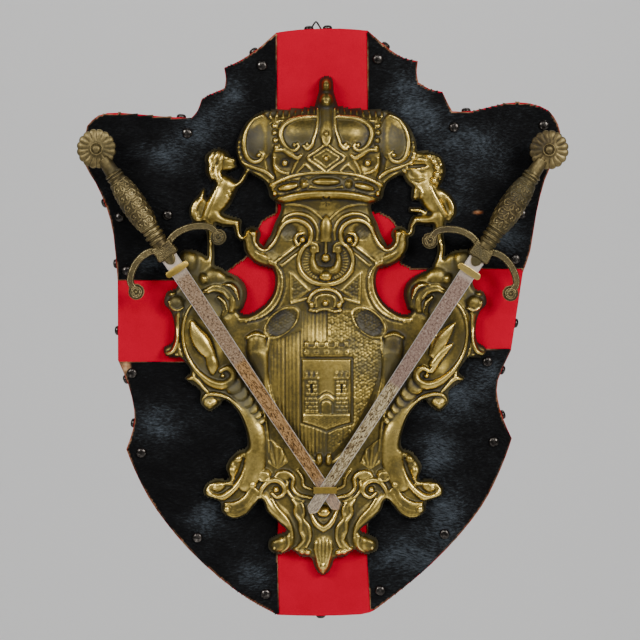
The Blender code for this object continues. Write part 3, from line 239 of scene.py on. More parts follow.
def hair_hide():
    """Cowhide with its short black hair on: near black, with painted sheen in blue-grey streaks."""
    material, tree, shader = new_material("hair_on_cowhide")
    place = node(tree, "ShaderNodeTexCoord").outputs["Object"]
    # the lie of the hair wanders by up to 35 mm, over about 110 mm
    wander = node(tree, "ShaderNodeTexNoise", {"Scale": 9.0, "Detail": 2.0}, {"Vector": place})
    drift = node(tree, "ShaderNodeVectorMath", {1: (0.035, 0.0, 0.035)}, {0: wander.outputs["Color"]},
                 operation="MULTIPLY")
    moved = node(tree, "ShaderNodeVectorMath", links={0: place, 1: drift.outputs[0]}, operation="ADD")
    # hairs 1.6 mm apart, drawn coarse so that they show, in tufts about 4 mm long; locks of about 25 mm
    along = node(tree, "ShaderNodeMapping",
                 {"Rotation": (0.0, math.radians(-40), 0.0), "Scale": (230.0, 150.0, 620.0)},
                 {"Vector": moved.outputs[0]})
    hair = node(tree, "ShaderNodeTexNoise", {"Scale": 1.0, "Detail": 5.0, "Roughness": 0.7},
                {"Vector": along.outputs[0]}).outputs["Fac"]
    broad = node(tree, "ShaderNodeMapping",
                 {"Rotation": (0.0, math.radians(40), 0.0), "Scale": (40.0, 30.0, 62.0)},
                 {"Vector": moved.outputs[0]})
    lock = node(tree, "ShaderNodeTexNoise", {"Scale": 1.0, "Detail": 4.0, "Roughness": 0.6},
                {"Vector": broad.outputs[0]}).outputs["Fac"]
    both = node(tree, "ShaderNodeMix", {0: 0.66}, {2: lock, 3: hair})
    # painted sheen: blue-grey patches where the hair leans to the lamps, broken up over 25 mm; the rest
    # almost black
    patch = node(tree, "ShaderNodeTexNoise", {"Scale": 38.0, "Detail": 4.0, "Roughness": 0.6},
                 {"Vector": place}).outputs["Fac"]
    painted_sheen = node(tree, "ShaderNodeAttribute", attribute_name="painted_sheen").outputs["Fac"]
    broken = node(tree, "ShaderNodeMath", {1: 0.7, 2: -0.35}, {0: patch}, operation="MULTIPLY_ADD")
    sheen_share = node(tree, "ShaderNodeMath", links={0: painted_sheen, 1: broken.outputs[0]}, operation="ADD")
    sheen_lift = node(tree, "ShaderNodeMapRange", {"To Min": -0.07, "To Max": 0.14},
                {"Value": sheen_share.outputs[0]})
    lit = node(tree, "ShaderNodeMath", links={0: both.outputs[0], 1: sheen_lift.outputs[0]},
               operation="ADD").outputs[0]
    coat = ramp(tree, lit, [(0.38, "#020203"), (0.50, "#07080A"), (0.58, "#14171A"), (0.68, "#2C3238"),
                            (0.80, "#454D55")])
    # tan hide where it was cut through, and in the small patches where the hair is gone
    bare = node(tree, "ShaderNodeAttribute", attribute_name="bare").outputs["Fac"]
    skin = node(tree, "ShaderNodeTexNoise", {"Scale": 160.0, "Detail": 3.0}, {"Vector": place})
    leather = ramp(tree, skin.outputs["Fac"], [(0.35, "#7A3E18"), (0.65, "#B9946F")])
    colour = node(tree, "ShaderNodeMix", links={0: bare, 6: coat, 7: leather}, data_type="RGBA")
    tree.links.new(colour.outputs[2], shader.inputs["Base Color"])
    rough = node(tree, "ShaderNodeMapRange",
                 {"From Min": 0.4, "From Max": 0.7, "To Min": 0.8, "To Max": 0.45}, {"Value": lit})
    tree.links.new(rough.outputs[0], shader.inputs["Roughness"])
    shader.inputs["Specular IOR Level"].default_value = 0.10
    bump = node(tree, "ShaderNodeBump", {"Strength": 1.0, "Distance": 0.0016}, {"Height": both.outputs[0]})
    tree.links.new(bump.outputs[0], shader.inputs["Normal"])
    return material


def etched_steel(name, face, dark, etched, start):
    """Rolled steel strip, plated and etched: speckled near the hilt, browned from the given station on.

    It reads the blade's own map, in units of 100 mm: X is the station from the pommel, Y lies across.
    """
    material, tree, shader = new_material(name)
    run = node(tree, "ShaderNodeUVMap", uv_map="run").outputs[0]
    station = node(tree, "ShaderNodeSeparateXYZ", links={"Vector": run}).outputs["X"]
    # speckles about 2 mm across; etched lines 3 mm apart that run with the blade
    speck = node(tree, "ShaderNodeTexNoise", {"Scale": 46.0, "Detail": 5.0, "Roughness": 0.8},
                 {"Vector": run}).outputs["Fac"]
    long = node(tree, "ShaderNodeMapping", {"Scale": (9.0, 30.0, 1.0)}, {"Vector": run})
    lines = node(tree, "ShaderNodeTexNoise",
                 {"Scale": 1.0, "Detail": 2.0, "Roughness": 0.5, "Distortion": 1.5},
                 {"Vector": long.outputs[0]}).outputs["Fac"]
    plain = ramp(tree, speck, [(0.43, dark), (0.49, face), (0.57, face), (0.68, "#F0E2D2")])
    brown = ramp(tree, lines, [(0.40, etched[1]), (0.46, etched[0]), (0.485, "#4A3423"),
                               (0.515, "#4A3423"), (0.54, etched[0]), (0.62, etched[1])])
    edge = node(tree, "ShaderNodeMapRange", {"From Min": start - 0.02, "From Max": start + 0.02},
                {"Value": station})
    colour = node(tree, "ShaderNodeMix", links={0: edge.outputs[0], 6: plain, 7: brown},
                  data_type="RGBA").outputs[2]
    # the crossed tips kept their pale plating, and so did the plate where the guard kept hands off
    tip = node(tree, "ShaderNodeMapRange", {"From Min": 3.92, "From Max": 4.02, "To Max": 0.45},
               {"Value": station}).outputs[0]
    clean = node(tree, "ShaderNodeMapRange", {"From Min": 1.54, "From Max": 1.44, "To Max": 0.8},
                 {"Value": station}).outputs[0]
    # painted highlight along the cutting edges, where the bevel catches the light
    edge_highlight = node(tree, "ShaderNodeAttribute", attribute_name="painted_edge_highlight").outputs["Fac"]
    for share, tint in ((tip, "#C3B2A8"), (clean, "#EADCCB"), (edge_highlight, "#E4E4E8")):
        colour = node(tree, "ShaderNodeMix", {7: linear(tint)}, {0: share, 6: colour},
                      data_type="RGBA").outputs[2]
    tree.links.new(colour, shader.inputs["Base Color"])
    shader.inputs["Metallic"].default_value = 0.85
    rough = node(tree, "ShaderNodeMapRange", {"To Min": 0.5, "To Max": 0.28}, {"Value": speck})
    tree.links.new(rough.outputs[0], shader.inputs["Roughness"])
    bump = node(tree, "ShaderNodeBump", {"Strength": 0.35, "Distance": 0.0004}, {"Height": lines})
    tree.links.new(bump.outputs[0], shader.inputs["Normal"])
    return material


def blackened_iron():
    """Iron nails and wire, blackened: dark grey, satin, with small bright rubs 2 mm across."""
    material, tree, shader = new_material("blackened_iron_wire_and_nails")
    place = node(tree, "ShaderNodeTexCoord").outputs["Object"]
    grain = node(tree, "ShaderNodeTexNoise", {"Scale": 420.0, "Detail": 4.0},
                 {"Vector": place}).outputs["Fac"]
    grey = ramp(tree, grain, [(0.35, "#1F1C1A"), (0.6, "#45413E"), (0.8, "#918C87")])
    tree.links.new(grey, shader.inputs["Base Color"])
    shader.inputs["Metallic"].default_value = 0.9
    shader.inputs["Roughness"].default_value = 0.27
    bump = node(tree, "ShaderNodeBump", {"Strength": 0.3, "Distance": 0.0003}, {"Height": grain})
    tree.links.new(bump.outputs[0], shader.inputs["Normal"])
    return material


def beech_board():
    """Sawn and sanded beech: pale brown, with fine darker flecks along the grain."""
    material, tree, shader = new_material("sanded_beech")
    place = node(tree, "ShaderNodeTexCoord").outputs["Object"]
    # growth rings about 4 mm apart run up the board, with flecks 4 mm long between them
    rings = node(tree, "ShaderNodeMapping", {"Scale": (240.0, 120.0, 9.0)}, {"Vector": place})
    ring = node(tree, "ShaderNodeTexNoise",
                {"Scale": 1.0, "Detail": 5.0, "Roughness": 0.6, "Distortion": 0.6},
                {"Vector": rings.outputs[0]}).outputs["Fac"]
    flecks = node(tree, "ShaderNodeMapping", {"Scale": (1400.0, 900.0, 260.0)}, {"Vector": place})
    fleck = node(tree, "ShaderNodeTexNoise", {"Scale": 1.0, "Detail": 2.0}, {"Vector": flecks.outputs[0]})
    wood = ramp(tree, ring, [(0.3, "#8A6540"), (0.5, "#A67F52"), (0.7, "#BD966A")])
    dash = node(tree, "ShaderNodeMapRange", {"From Min": 0.60, "From Max": 0.68, "To Max": 0.5},
                {"Value": fleck.outputs["Fac"]})
    colour = node(tree, "ShaderNodeMix", {7: linear("#6B4A2C")}, {0: dash.outputs[0], 6: wood},
                  data_type="RGBA")
    tree.links.new(colour.outputs[2], shader.inputs["Base Color"])
    shader.inputs["Roughness"].default_value = 0.62
    bump = node(tree, "ShaderNodeBump", {"Strength": 0.3, "Distance": 0.0004}, {"Height": ring})
    tree.links.new(bump.outputs[0], shader.inputs["Normal"])
    return material


BRASS = aged_brass("stamped_antique_brass", ("#1E190D", "#5B502D", "#9A8544", "#ECD07A"), 0.27, 0.7)
STAPLE_BRASS = aged_brass("drawn_brass_strip", ("#4A3C18", "#8E7838", "#BB9D4E", "#E9CF80"), 0.28, 0.1)
BRONZE = aged_brass("cast_bronze_hilt", ("#17130D", "#453C2A", "#7C6E4A", "#BFB184"), 0.36, 0.5, 0.06)
FELT = red_felt()
HIDE = hair_hide()
IRON = blackened_iron()
BEECH = beech_board()
STEEL = {
    "left": etched_steel("etched_steel_left", "#AE9276", "#5A4535", ("#A47C4C", "#C79E6C"), 2.54),
    "right": etched_steel("etched_steel_right", "#A48A7C", "#6E564C", ("#AE9A70", "#DFCFA8"), 2.78),
}


# Relief

# Height of a mark over its distance from the middle, both as shares
FORMS = {
    "round": lambda t: np.sqrt(1.0 - t * t),
    "soft": lambda t: (1.0 - t * t) ** 1.5,
    "sharp": lambda t: 1.0 - t,
    "flat": lambda t: np.clip((1.0 - t) * 4.0, 0.0, 1.0),
}


def blurred(grid, reach):
    """The grid evened out over about reach grid steps."""
    down = np.fft.fftfreq(grid.shape[0])[:, None]
    across = np.fft.rfftfreq(grid.shape[1])[None, :]
    spread = np.exp(-2.0 * (math.pi * reach) ** 2 * (down ** 2 + across ** 2))
    return np.fft.irfft2(np.fft.rfft2(grid) * spread, s=grid.shape)


class Relief:
    """Heights in millimetres over a stretch of the sheet, with the outline of what is raised."""

    def __init__(self, west, north, east, south, pitch):
        columns = round((east - west) / pitch) + 1
        rows = round((south - north) / pitch) + 1
        self.pitch = pitch
        self.x, self.y = np.meshgrid(np.linspace(west, east, columns), np.linspace(south, north, rows))
        self.u = self.x
        self.body = np.zeros_like(self.x)
        self.carving = np.zeros_like(self.x)
        # darkening by patina and painted shade; below zero, wear and painted highlight
        self.patina_and_shade = np.zeros_like(self.x)
        self.inside = np.full_like(self.x, -30.0)

    def fold(self, axis):
        """Draw both halves at once from now on, by distance from the axis."""
        self.u = np.abs(self.x - axis)

    def unfold(self):
        """Draw each half by itself again."""
        self.u = self.x

    def near(self, low, high, margin):
        """The cells in a box, widened by a margin."""
        return ((self.u > low[0] - margin) & (self.u < high[0] + margin)
                & (self.y > low[1] - margin) & (self.y < high[1] + margin))

    def press(self, area, share, rise, base=None, blend=1.5):
        """Add a rise where it is part of the mark: to the carving, or to the body above a base."""
        if base is None:
            old = self.carving[area]
            new = np.maximum(old, rise) if rise.max() > 0 else np.minimum(old, rise)
            self.carving[area] = np.where(share < 1.0, new, old)
            return
        old = self.body[area]
        new = np.where(share < 1.0, base + rise, 0.0)
        overlap = np.clip(blend - np.abs(old - new), 0.0, None)
        joined = np.maximum(old, new) + overlap ** 2 / (4 * blend)
        self.body[area] = np.where(share < 1.0, joined, old)

    def stroke(self, points, height, form="round", base=None, blend=1.5):
        """A ridge along a smooth path of (place, level, half width) rows, or a groove below zero."""
        longest = max(math.dist(a[:2], b[:2]) for a, b in zip(points, points[1:]))
        path = smooth_path(points, max(2, math.ceil(longest / 0.8)))
        wide = path[:, 2].max()
        area = self.near(path[:, :2].min(axis=0), path[:, :2].max(axis=0), wide + 3.0)
        if not area.any():
            return
        away = np.hypot(self.u[area][:, None] - path[None, :, 0], self.y[area][:, None] - path[None, :, 1])
        best = np.argmax(path[None, :, 2] - away, axis=1)
        reach = path[best, 2]
        gap = away[np.arange(len(best)), best]
        share = np.clip(gap / reach, 0.0, 1.0)
        self.press(area, share, height * np.sqrt(reach / wide) * FORMS[form](share), base, blend)
        if base is not None:
            self.inside[area] = np.maximum(self.inside[area], reach - gap)

    def border(self, corners, half_width, height):
        """A ridge or groove of straight lines round a closed outline."""
        for a, b in zip(corners, corners[1:] + corners[:1]):
            self.stroke([(*a, half_width), (*b, half_width)], height)

    def oval(self, centre, radii, angle):
        """The cells round an oval, with their distance from its middle as a share of its radius."""
        area = self.near(centre, centre, max(radii) * 1.5 + 2.0)
        turn = math.radians(angle)
        du = self.u[area] - centre[0]
        dy = self.y[area] - centre[1]
        return area, np.hypot((du * math.cos(turn) + dy * math.sin(turn)) / radii[0],
                              (dy * math.cos(turn) - du * math.sin(turn)) / radii[1])

    def dome(self, centre, radii, height, angle=0.0, form="round", base=None):
        """An oval boss, or a dish where the height is negative."""
        area, share = self.oval(centre, radii, angle)
        self.press(area, share, height * FORMS[form](np.clip(share, 0.0, 1.0)), base)
        if base is not None:
            self.inside[area] = np.maximum(self.inside[area], (1.0 - share) * min(radii))

    def ring(self, centre, radii, width, height, angle=0.0):
        """An oval ridge, or a groove where the height is negative."""
        area, share = self.oval(centre, radii, angle)
        share = np.abs(share - 1.0) * min(radii) / width
        self.press(area, share, height * FORMS["round"](np.clip(share, 0.0, 1.0)))

    def distance_inside(self, points, parts=4):
        """Distance from a closed outline, positive inside it."""
        outline = smooth_path(list(points), parts) if parts > 1 else np.array(points, dtype=float)
        px, py = self.u.ravel(), self.y.ravel()
        nearest = np.full(px.shape, 1e9)
        odd = np.zeros(px.shape, dtype=bool)
        for (ax, ay), (bx, by) in zip(outline, np.roll(outline, -1, axis=0)):
            ex, ey = bx - ax, by - ay
            length = max(ex * ex + ey * ey, 1e-9)
            t = np.clip(((px - ax) * ex + (py - ay) * ey) / length, 0.0, 1.0)
            nearest = np.minimum(nearest, np.hypot(px - ax - t * ex, py - ay - t * ey))
            if ay != by:
                odd ^= ((ay > py) != (by > py)) & (px < ax + (py - ay) * ex / ey)
        return np.where(odd, nearest, -nearest).reshape(self.u.shape)

    def region(self, points):
        """Ground inside a closed smooth outline."""
        signed = self.distance_inside(points)
        self.inside = np.maximum(self.inside, signed)
        self.body = np.where(signed > -self.pitch, GROUND, 0.0)

    def swell(self, centre, radii, height):
        """Broad body form: an oval that swells out of the ground."""
        area, share = self.oval(centre, radii, 0.0)
        self.press(area, share, height * FORMS["soft"](np.clip(share, 0.0, 1.0)), GROUND, 4.0)

    def texture(self, points, pattern):
        """Add a pattern, worked out from u and y, inside a closed outline."""
        mask = np.clip(self.distance_inside(points, 1) / 0.8, 0.0, 1.0)
        self.carving += np.where(mask > 0, pattern(self.u, self.y) * mask, 0.0)

    def paint_patina_and_shade(self, points, share, parts=1):
        """Patina and painted shade inside a closed outline; a negative share paints wear and painted
        highlight.
        """
        self.patina_and_shade += share * np.clip(self.distance_inside(points, parts) / 3.0, 0.0, 1.0)

    def edge_distance(self):
        """Distance of each inner point from the outline's zero line."""
        spots = []
        for first, second in ((np.s_[:, :-1], np.s_[:, 1:]), (np.s_[:-1, :], np.s_[1:, :])):
            a, b = self.inside[first], self.inside[second]
            cut = (a > 0) != (b > 0)
            share = a[cut] / (a[cut] - b[cut])
            x = self.x[first][cut] + share * (self.x[second][cut] - self.x[first][cut])
            y = self.y[first][cut] + share * (self.y[second][cut] - self.y[first][cut])
            spots.extend(zip(x, y))
        tree = kdtree.KDTree(len(spots))
        for number, (x, y) in enumerate(spots):
            tree.insert((x, y, 0.0), number)
        tree.balance()
        distance = np.zeros_like(self.x)
        for row, column in zip(*np.nonzero(self.inside > 0)):
            distance[row, column] = tree.find((self.x[row, column], self.y[row, column], 0.0))[2]
        return distance

    def surface(self, wall, turn):
        """Heights with the edge rounded down to its upright wall."""
        total = np.maximum(self.body + self.carving, wall)
        away = self.edge_distance()
        share = np.clip(away / turn, 0.0, 1.0)
        # patina gathers along the edge, over 2.8 mm
        self.patina_and_shade += 0.3 * np.clip(1.0 - away / 2.8, 0.0, 1.0)
        return wall + (total - wall) * np.sqrt(1.0 - (1.0 - share) ** 2)


def pebbles(pitch, height, seed):
    """A pattern of close round pebbles in staggered slanting rows, each a little out of line."""
    def stray(column, row, across, down, spread):
        """How far each pebble strays from its row, as a share of the pitch; the same in every run."""
        mixed = np.sin(column * across + row * down + seed) * spread
        return 0.34 * (mixed - np.floor(mixed) - 0.5)

    def pattern(level, upright):
        # the rows are turned by 28 degrees and lie 0.87 of the pitch apart
        x, y = 0.88 * level + 0.47 * upright, (0.88 * upright - 0.47 * level) / 0.87
        best = np.full(x.shape, 9.0)
        column, row = np.floor(x / pitch), np.floor(y / pitch)
        for dx in (-1, 0, 1):
            for dy in (-1, 0, 1):
                cx, cy = column + dx, row + dy
                px = (cx + 0.5 + stray(cx, cy, 12.9898, 78.233, 43758.5453) + 0.5 * (cy % 2)) * pitch
                py = (cy + 0.5 + stray(cx, cy, 39.3468, 11.135, 24634.6345)) * pitch
                best = np.minimum(best, np.hypot(x - px, (y - py) * 0.87) / pitch)
        return height * np.sqrt(np.clip(1.0 - (best / 0.60) ** 2, 0.0, 1.0))
    return pattern


def stripes(pitch, height, angle=0.0):
    """A pattern of parallel rounded ridges; at angle 0 they stand upright."""
    turn = math.radians(angle)

    def pattern(x, y):
        across = x * math.cos(turn) + y * math.sin(turn)
        return height * (np.abs(np.sin(math.pi * across / pitch)) ** 0.4 - 1.0)
    return pattern


def relief_shell(field, wall, turn, back, origin=HANGER):
    """A closed shell: the field's surface in front, an upright edge and a flat back at the given depth."""
    heights = field.surface(wall, turn)
    rows, columns = field.x.shape
    shell = bmesh.new()
    mark = shell.verts.layers.float.new("relief")
    bmesh.ops.create_grid(shell, x_segments=columns - 1, y_segments=rows - 1, size=1.0)
    spots = sorted(shell.verts, key=lambda spot: (round(spot.co.y * 4 * rows), spot.co.x))
    rising, across = np.gradient(field.inside, field.pitch)
    slope = np.maximum(np.hypot(across, rising), 0.5)
    within = (field.inside > 0).astype(float)
    # what stands above its surroundings, within 1.5 mm and within 4 mm, was rubbed bright
    close, wide = (heights - blurred(heights * within, reach / field.pitch)
                   / np.maximum(blurred(within, reach / field.pitch), 0.05) for reach in (1.5, 4.0))
    # the rubbed-bright mark, less the patina and painted shade, and raised where painted highlight was
    # given
    wear_and_shade = np.clip(0.48 + 0.145 * close + np.minimum(0.05 * wide, 0.06) - field.patina_and_shade, 0.0, 1.0)
    cell = {}
    for number, spot in enumerate(spots):
        row, column = divmod(number, columns)
        spot.co = ((field.x[row, column] - origin[0]) * MM, -(back + heights[row, column]) * MM,
                   (origin[1] - field.y[row, column]) * MM)
        spot[mark] = wear_and_shade[row, column]
        cell[spot] = (row, column)
    # faces outside the outline go, and so does one at each corner where two faces only touch
    outer = [face for face in shell.faces if sum(field.inside[cell[spot]] for spot in face.verts) <= 0.0]
    bmesh.ops.delete(shell, geom=outer, context="FACES")
    while True:
        pinched = [spot for spot in shell.verts if sum(edge.is_boundary for edge in spot.link_edges) > 2]
        if not pinched:
            break
        bmesh.ops.delete(shell, geom=list({spot.link_faces[0] for spot in pinched}), context="FACES")
    # the rim moves on to the outline and drops to the top of the wall
    for spot in shell.verts:
        if any(edge.is_boundary for edge in spot.link_edges):
            row, column = cell[spot]
            most = 0.9 * field.pitch
            step = np.clip(-field.inside[row, column] / slope[row, column], -most, most)
            spot.co.x += step * across[row, column] / slope[row, column] * MM
            spot.co.z -= step * rising[row, column] / slope[row, column] * MM
            spot.co.y = -(back + wall) * MM
    rim = [edge for edge in shell.edges if edge.is_boundary]
    walls = bmesh.ops.extrude_edge_only(shell, edges=rim)
    lower = [item for item in walls["geom"] if isinstance(item, bmesh.types.BMVert)]
    for spot in lower:
        spot.co.y = -back * MM
    open_back = [edge for edge in shell.edges if edge.is_boundary]
    bmesh.ops.triangle_fill(shell, edges=open_back, use_beauty=True, use_dissolve=False)
    bmesh.ops.recalc_face_normals(shell, faces=shell.faces)
    return shell


# The carving, drawn by distance from the centre line

def curl(field, rows, height, eye, radius):
    """A tapering ridge that rolls up round an eye."""
    field.stroke(rows, height)
    field.dome(eye, (radius, radius), height * 1.1)


def crown(field):
    """The royal crown: domed body, arches, leaf, side panels, beads and headband."""
    field.swell((0, 150), (98, 62), 21)
    field.swell((0, 188), (72, 30), 17)
    # finial of two balls on a taper
    field.stroke([(0, 84, 7), (0, 94, 7.6), (0, 108, 11.5)], 8, base=6)
    field.dome((0, 87), (6.2, 6.2), 8, base=11)
    field.dome((0, 101), (8, 7.4), 10, base=11)
    field.paint_patina_and_shade([(-10, 76), (10, 76), (13, 112), (-13, 112)], 0.15)
    # the body sinks along its pleated top edge and in the gaps between the lobes
    field.stroke([(6, 111, 4.5), (26, 112, 5), (44, 114, 5), (58, 116, 4)], -3.0, form="soft")
    field.stroke([(58, 116, 4), (57, 132, 5), (57.5, 150, 5), (56, 166, 4), (52, 178, 3)], -3.6,
                 form="soft")
    # caps that bulge gently between the arches
    field.dome((66, 138), (14, 24), 2.2, form="soft")
    field.dome((24, 131), (19, 14), 2.6, form="soft")
    # painted shade on the caps, deepest on the outer cap, which faces away from the lamps
    field.paint_patina_and_shade([(64, 122), (76, 130), (79, 146), (72, 156), (61, 150), (60, 134), (64, 122)], 0.26,
                 parts=3)
    field.paint_patina_and_shade([(12, 121), (30, 122), (41, 130), (39, 143), (26, 141), (15, 141), (12, 121)], 0.08,
                 parts=3)
    # dark groove between the outer lobe and the beaded rib; painted shade along the top, where the crown
    # turns away, on the pleats and the middle leaf
    field.paint_patina_and_shade([(55, 118), (60, 118), (60, 150), (58, 166), (54, 160), (54, 130), (55, 118)], 0.22,
                 parts=3)
    field.paint_patina_and_shade([(7, 106), (60, 110), (60, 118), (7, 116)], 0.16)
    field.paint_patina_and_shade([(-5, 106), (5, 106), (4.5, 124), (-4.5, 124)], 0.16)
    # outer arch: a long ridge that curls in at its foot
    curl(field, [(64, 116, 1.6), (74, 121, 2.2), (80, 132, 2.8), (82, 145, 3.0), (79.5, 156, 2.8),
                 (73, 162, 2.6), (66, 161, 2.2), (62.5, 155.5, 1.8), (66, 151.5, 1.6)], 3.8, (67, 155.5),
         2.4)
    field.stroke([(82, 164, 1.8), (72, 168, 2.4), (61, 172, 2.4), (53, 178, 1.8)], 3.0)
    field.stroke([(76, 172, 1.4), (66, 176, 1.8), (58, 182, 1.4)], 2.2)
    # rib between the arches, with its row of beads
    field.stroke([(50, 120, 1.4), (48, 132, 1.8), (46, 146, 1.8), (46, 152, 1.4)], 2.0)
    for place in ((51.5, 126.5), (51.5, 133.5), (50.5, 141), (49.5, 148)):
        field.dome(place, (2.8, 2.8), 3.6)
    # inner arch, thick at its shoulder
    curl(field, [(8, 117.5, 1.2), (20, 118, 1.8), (32, 120, 2.4), (42, 126, 3.0), (45.5, 134, 3.4),
                 (43, 143, 3.2), (38, 149, 2.8), (32, 151, 2.2), (27.4, 148, 1.8), (28.5, 143.6, 1.4)], 4.6,
         (31.6, 145.8), 2.4)
    # centre leaf with its two curls and boss
    field.stroke([(0, 108, 7), (0, 121, 7.5), (0, 133, 9.5), (0, 142, 7)], 4.4, form="soft")
    curl(field, [(8.5, 110, 1.3), (8.5, 122, 1.7), (10, 132, 2.0), (12.5, 140, 2.2), (14.5, 146, 2.4),
                 (19, 149.5, 2.2), (22.6, 146.5, 1.6)], 4.4, (19, 145.2), 2.4)
    field.dome((0, 134.5), (3.4, 3.4), 6.4)
    field.stroke([(4, 138, 1.2), (2.5, 143, 1.6), (0, 146, 1.8)], 4.4)
    # lozenge: two frames, one in the other, and a boss
    lozenge = [(0, 144.5, 1.5), (9, 151.5, 1.5), (18, 158.5, 1.6), (9, 166, 1.5), (0, 173, 1.5)]
    field.dome((0, 158.5), (15, 12), 1.6, form="sharp")
    field.stroke(lozenge, 3.2)
    field.stroke([(0, 150, 0.8), (6.5, 154.5, 0.8), (12.5, 158.5, 0.9), (6.5, 163.5, 0.8), (0, 168.5, 0.8)],
                 2.6)
    field.dome((0, 159), (3.2, 3.2), 5.0)
    # side panels: a sunk pocket with a boss, a thick wave above it
    field.dome((40, 164), (11, 8.5), -2.2, form="soft")
    field.stroke([(50, 151, 2.0), (43, 150.5, 2.6), (36, 154.5, 2.8), (29, 158.5, 2.6), (25, 156, 1.8)],
                 4.2)
    field.stroke([(51.5, 158, 1.4), (51, 166, 1.6), (46, 171.5, 1.6), (38, 174, 1.4)], 2.4)
    field.stroke([(27, 160, 1.2), (31, 166, 1.4), (34, 173, 1.2)], 2.0)
    field.dome((41, 163.5), (3.2, 3.2), 4.0)
    # gables between lozenge and panels
    field.stroke([(29, 172.5, 1.1), (25, 168.5, 1.3), (21, 165, 1.5), (17, 168.5, 1.3), (13, 172.5, 1.1)],
                 2.2)
    # beads round the outer edge, pleats along the top
    beads = [(75, 117), (83, 126), (87, 137), (88.5, 148), (86.5, 158.5), (81, 168), (73, 175.5), (64, 181)]
    for place in smooth_path(beads, 2):
        field.dome(place, (2.9, 2.9), 2.8)
    field.stroke([(10, 119, 0.8), (28, 120, 0.9), (44, 121.5, 0.9), (54, 123, 0.8)], 1.6)
    for number in range(8):
        place = 11.5 + 6.2 * number
        field.stroke([(place, 110.5, 0.9), (place + 0.6, 117.5, 1.1)], 0.4)
    # headband: a thin ridge, the row of stones, a ridge and a thick roll
    field.stroke([(-5, 172.8, 1.8), (14, 173.4, 1.8), (30, 175.6, 1.8), (44, 180, 1.8), (58, 187, 1.6)],
                 3.2)
    field.stroke([(-5, 182, 7), (20, 183, 7), (38, 186.5, 7), (50, 190, 6)], 1.2, form="flat")
    field.stroke([(-5, 194.4, 4.6), (14, 194.8, 4.6), (30, 196.6, 4.4), (44, 200, 4.0), (54, 203.5, 3.0)],
                 6.4)
    for place, radii, angle in (((0, 181.8), (14.5, 3.8), 0), ((37.5, 187), (11.0, 3.2), 12)):
        field.dome(place, radii, 4.6, angle=angle)
        field.ring(place, (radii[0] + 1.8, radii[1] + 1.5), 0.9, -0.8, angle=angle)
    field.dome((22.3, 184), (4.4, 4.6), 4.2, form="sharp")
    field.ring((22.3, 184), (5.2, 5.4), 0.9, -0.8)
    field.dome((51.5, 193.7), (3.0, 3.0), 6.0)


def neck(field):
    """The neck under the crown, with paired volutes, a drop between them, and the shoulder scrolls."""
    field.swell((0, 226), (62, 50), 9)
    field.paint_patina_and_shade([(0, 205), (46, 208), (60, 226), (52, 262), (0, 240)], -0.05)
    # engraved star and the thin wings that meet over the drop
    field.stroke([(-1, 196, 0.9), (0, 206, 0.9)], -1.2)
    field.stroke([(-1, 201, 0.9), (5, 201, 0.9)], -1.2)
    field.stroke([(-1, 200.5, 0.7), (3, 197.5, 0.7)], -0.8)
    field.stroke([(-1, 201.5, 0.7), (3, 204.5, 0.7)], -0.8)
    field.stroke([(46, 205, 1.0), (34, 204.8, 1.2), (22, 206.5, 1.3), (12, 211.5, 1.4), (4, 219, 1.4),
                  (0, 224, 1.4)], 1.8)
    # outer arc of the volutes, broad and smooth
    field.stroke([(46, 228, 1.4), (42, 219, 1.8), (35, 214.5, 2.0), (26, 213.5, 2.2), (17, 216.5, 2.2),
                  (11, 223, 2.0), (8.5, 231, 1.8), (9, 239, 1.4)], 2.6)
    # the cross-hatched dish and the rolled inner arc
    field.dome((36, 231), (11, 9), -3.6, form="soft")
    field.paint_patina_and_shade([(26, 226), (34, 223), (42, 227), (45, 236), (40, 243), (33, 240), (26, 226)], 0.2,
                 parts=3)
    curl(field, [(49, 238, 1.6), (45.5, 229, 2.2), (40, 222.5, 2.6), (31.5, 219.5, 2.8), (23, 221.5, 2.8),
                 (16.5, 227, 2.6), (14.5, 234, 2.8), (16, 241, 2.8), (21, 245.5, 2.6), (27.5, 244.5, 2.4),
                 (30.5, 239, 2.2), (28, 234, 2.0), (23.5, 233.5, 1.8)], 4.6, (23.4, 239.4), 3.0)
    field.ring((23.4, 239.4), (4.6, 4.6), 1.0, -1.2)
    # drop: a tulip that hangs from the wings
    field.stroke([(0, 217, 2.2), (0, 224, 6), (0, 232, 6.2), (0, 237, 5)], 4.6)
    field.stroke([(2.6, 222, 0.7), (3.0, 233, 0.7)], 3.0)
    field.stroke([(0, 236.5, 6.4), (0, 238.5, 6.4)], 3.0)
    for upper, lower in (((26, 243), (50, 261.5)), ((21.5, 247.5), (45.5, 267))):
        field.stroke([(*upper, 1.2), (*lower, 1.2)], 1.8)
    field.stroke([(23.5, 245, 1.5), (48, 264.5, 1.5)], -1.2)
    # shoulder scroll: the rolled end, a full band below it and its lip
    field.stroke([(74.5, 236, 7.5), (73.5, 246, 8.5), (67, 254, 9.5), (57, 259, 8.5), (48, 262, 6)], 4.6,
                 base=7)
    field.dome((73.5, 234.5), (8.5, 8.5), 6.0, base=7)
    curl(field, [(46.5, 226, 1.2), (48, 234, 1.8), (51.5, 242, 2.2), (57.5, 248, 2.6), (64.5, 248, 2.8),
                 (69.5, 242, 2.8), (71, 234, 2.4), (68.5, 230.5, 1.8)], 4.2, (73, 233), 2.4)
    field.dome((63, 255.5), (9, 4), 2.6, angle=-30, form="soft")


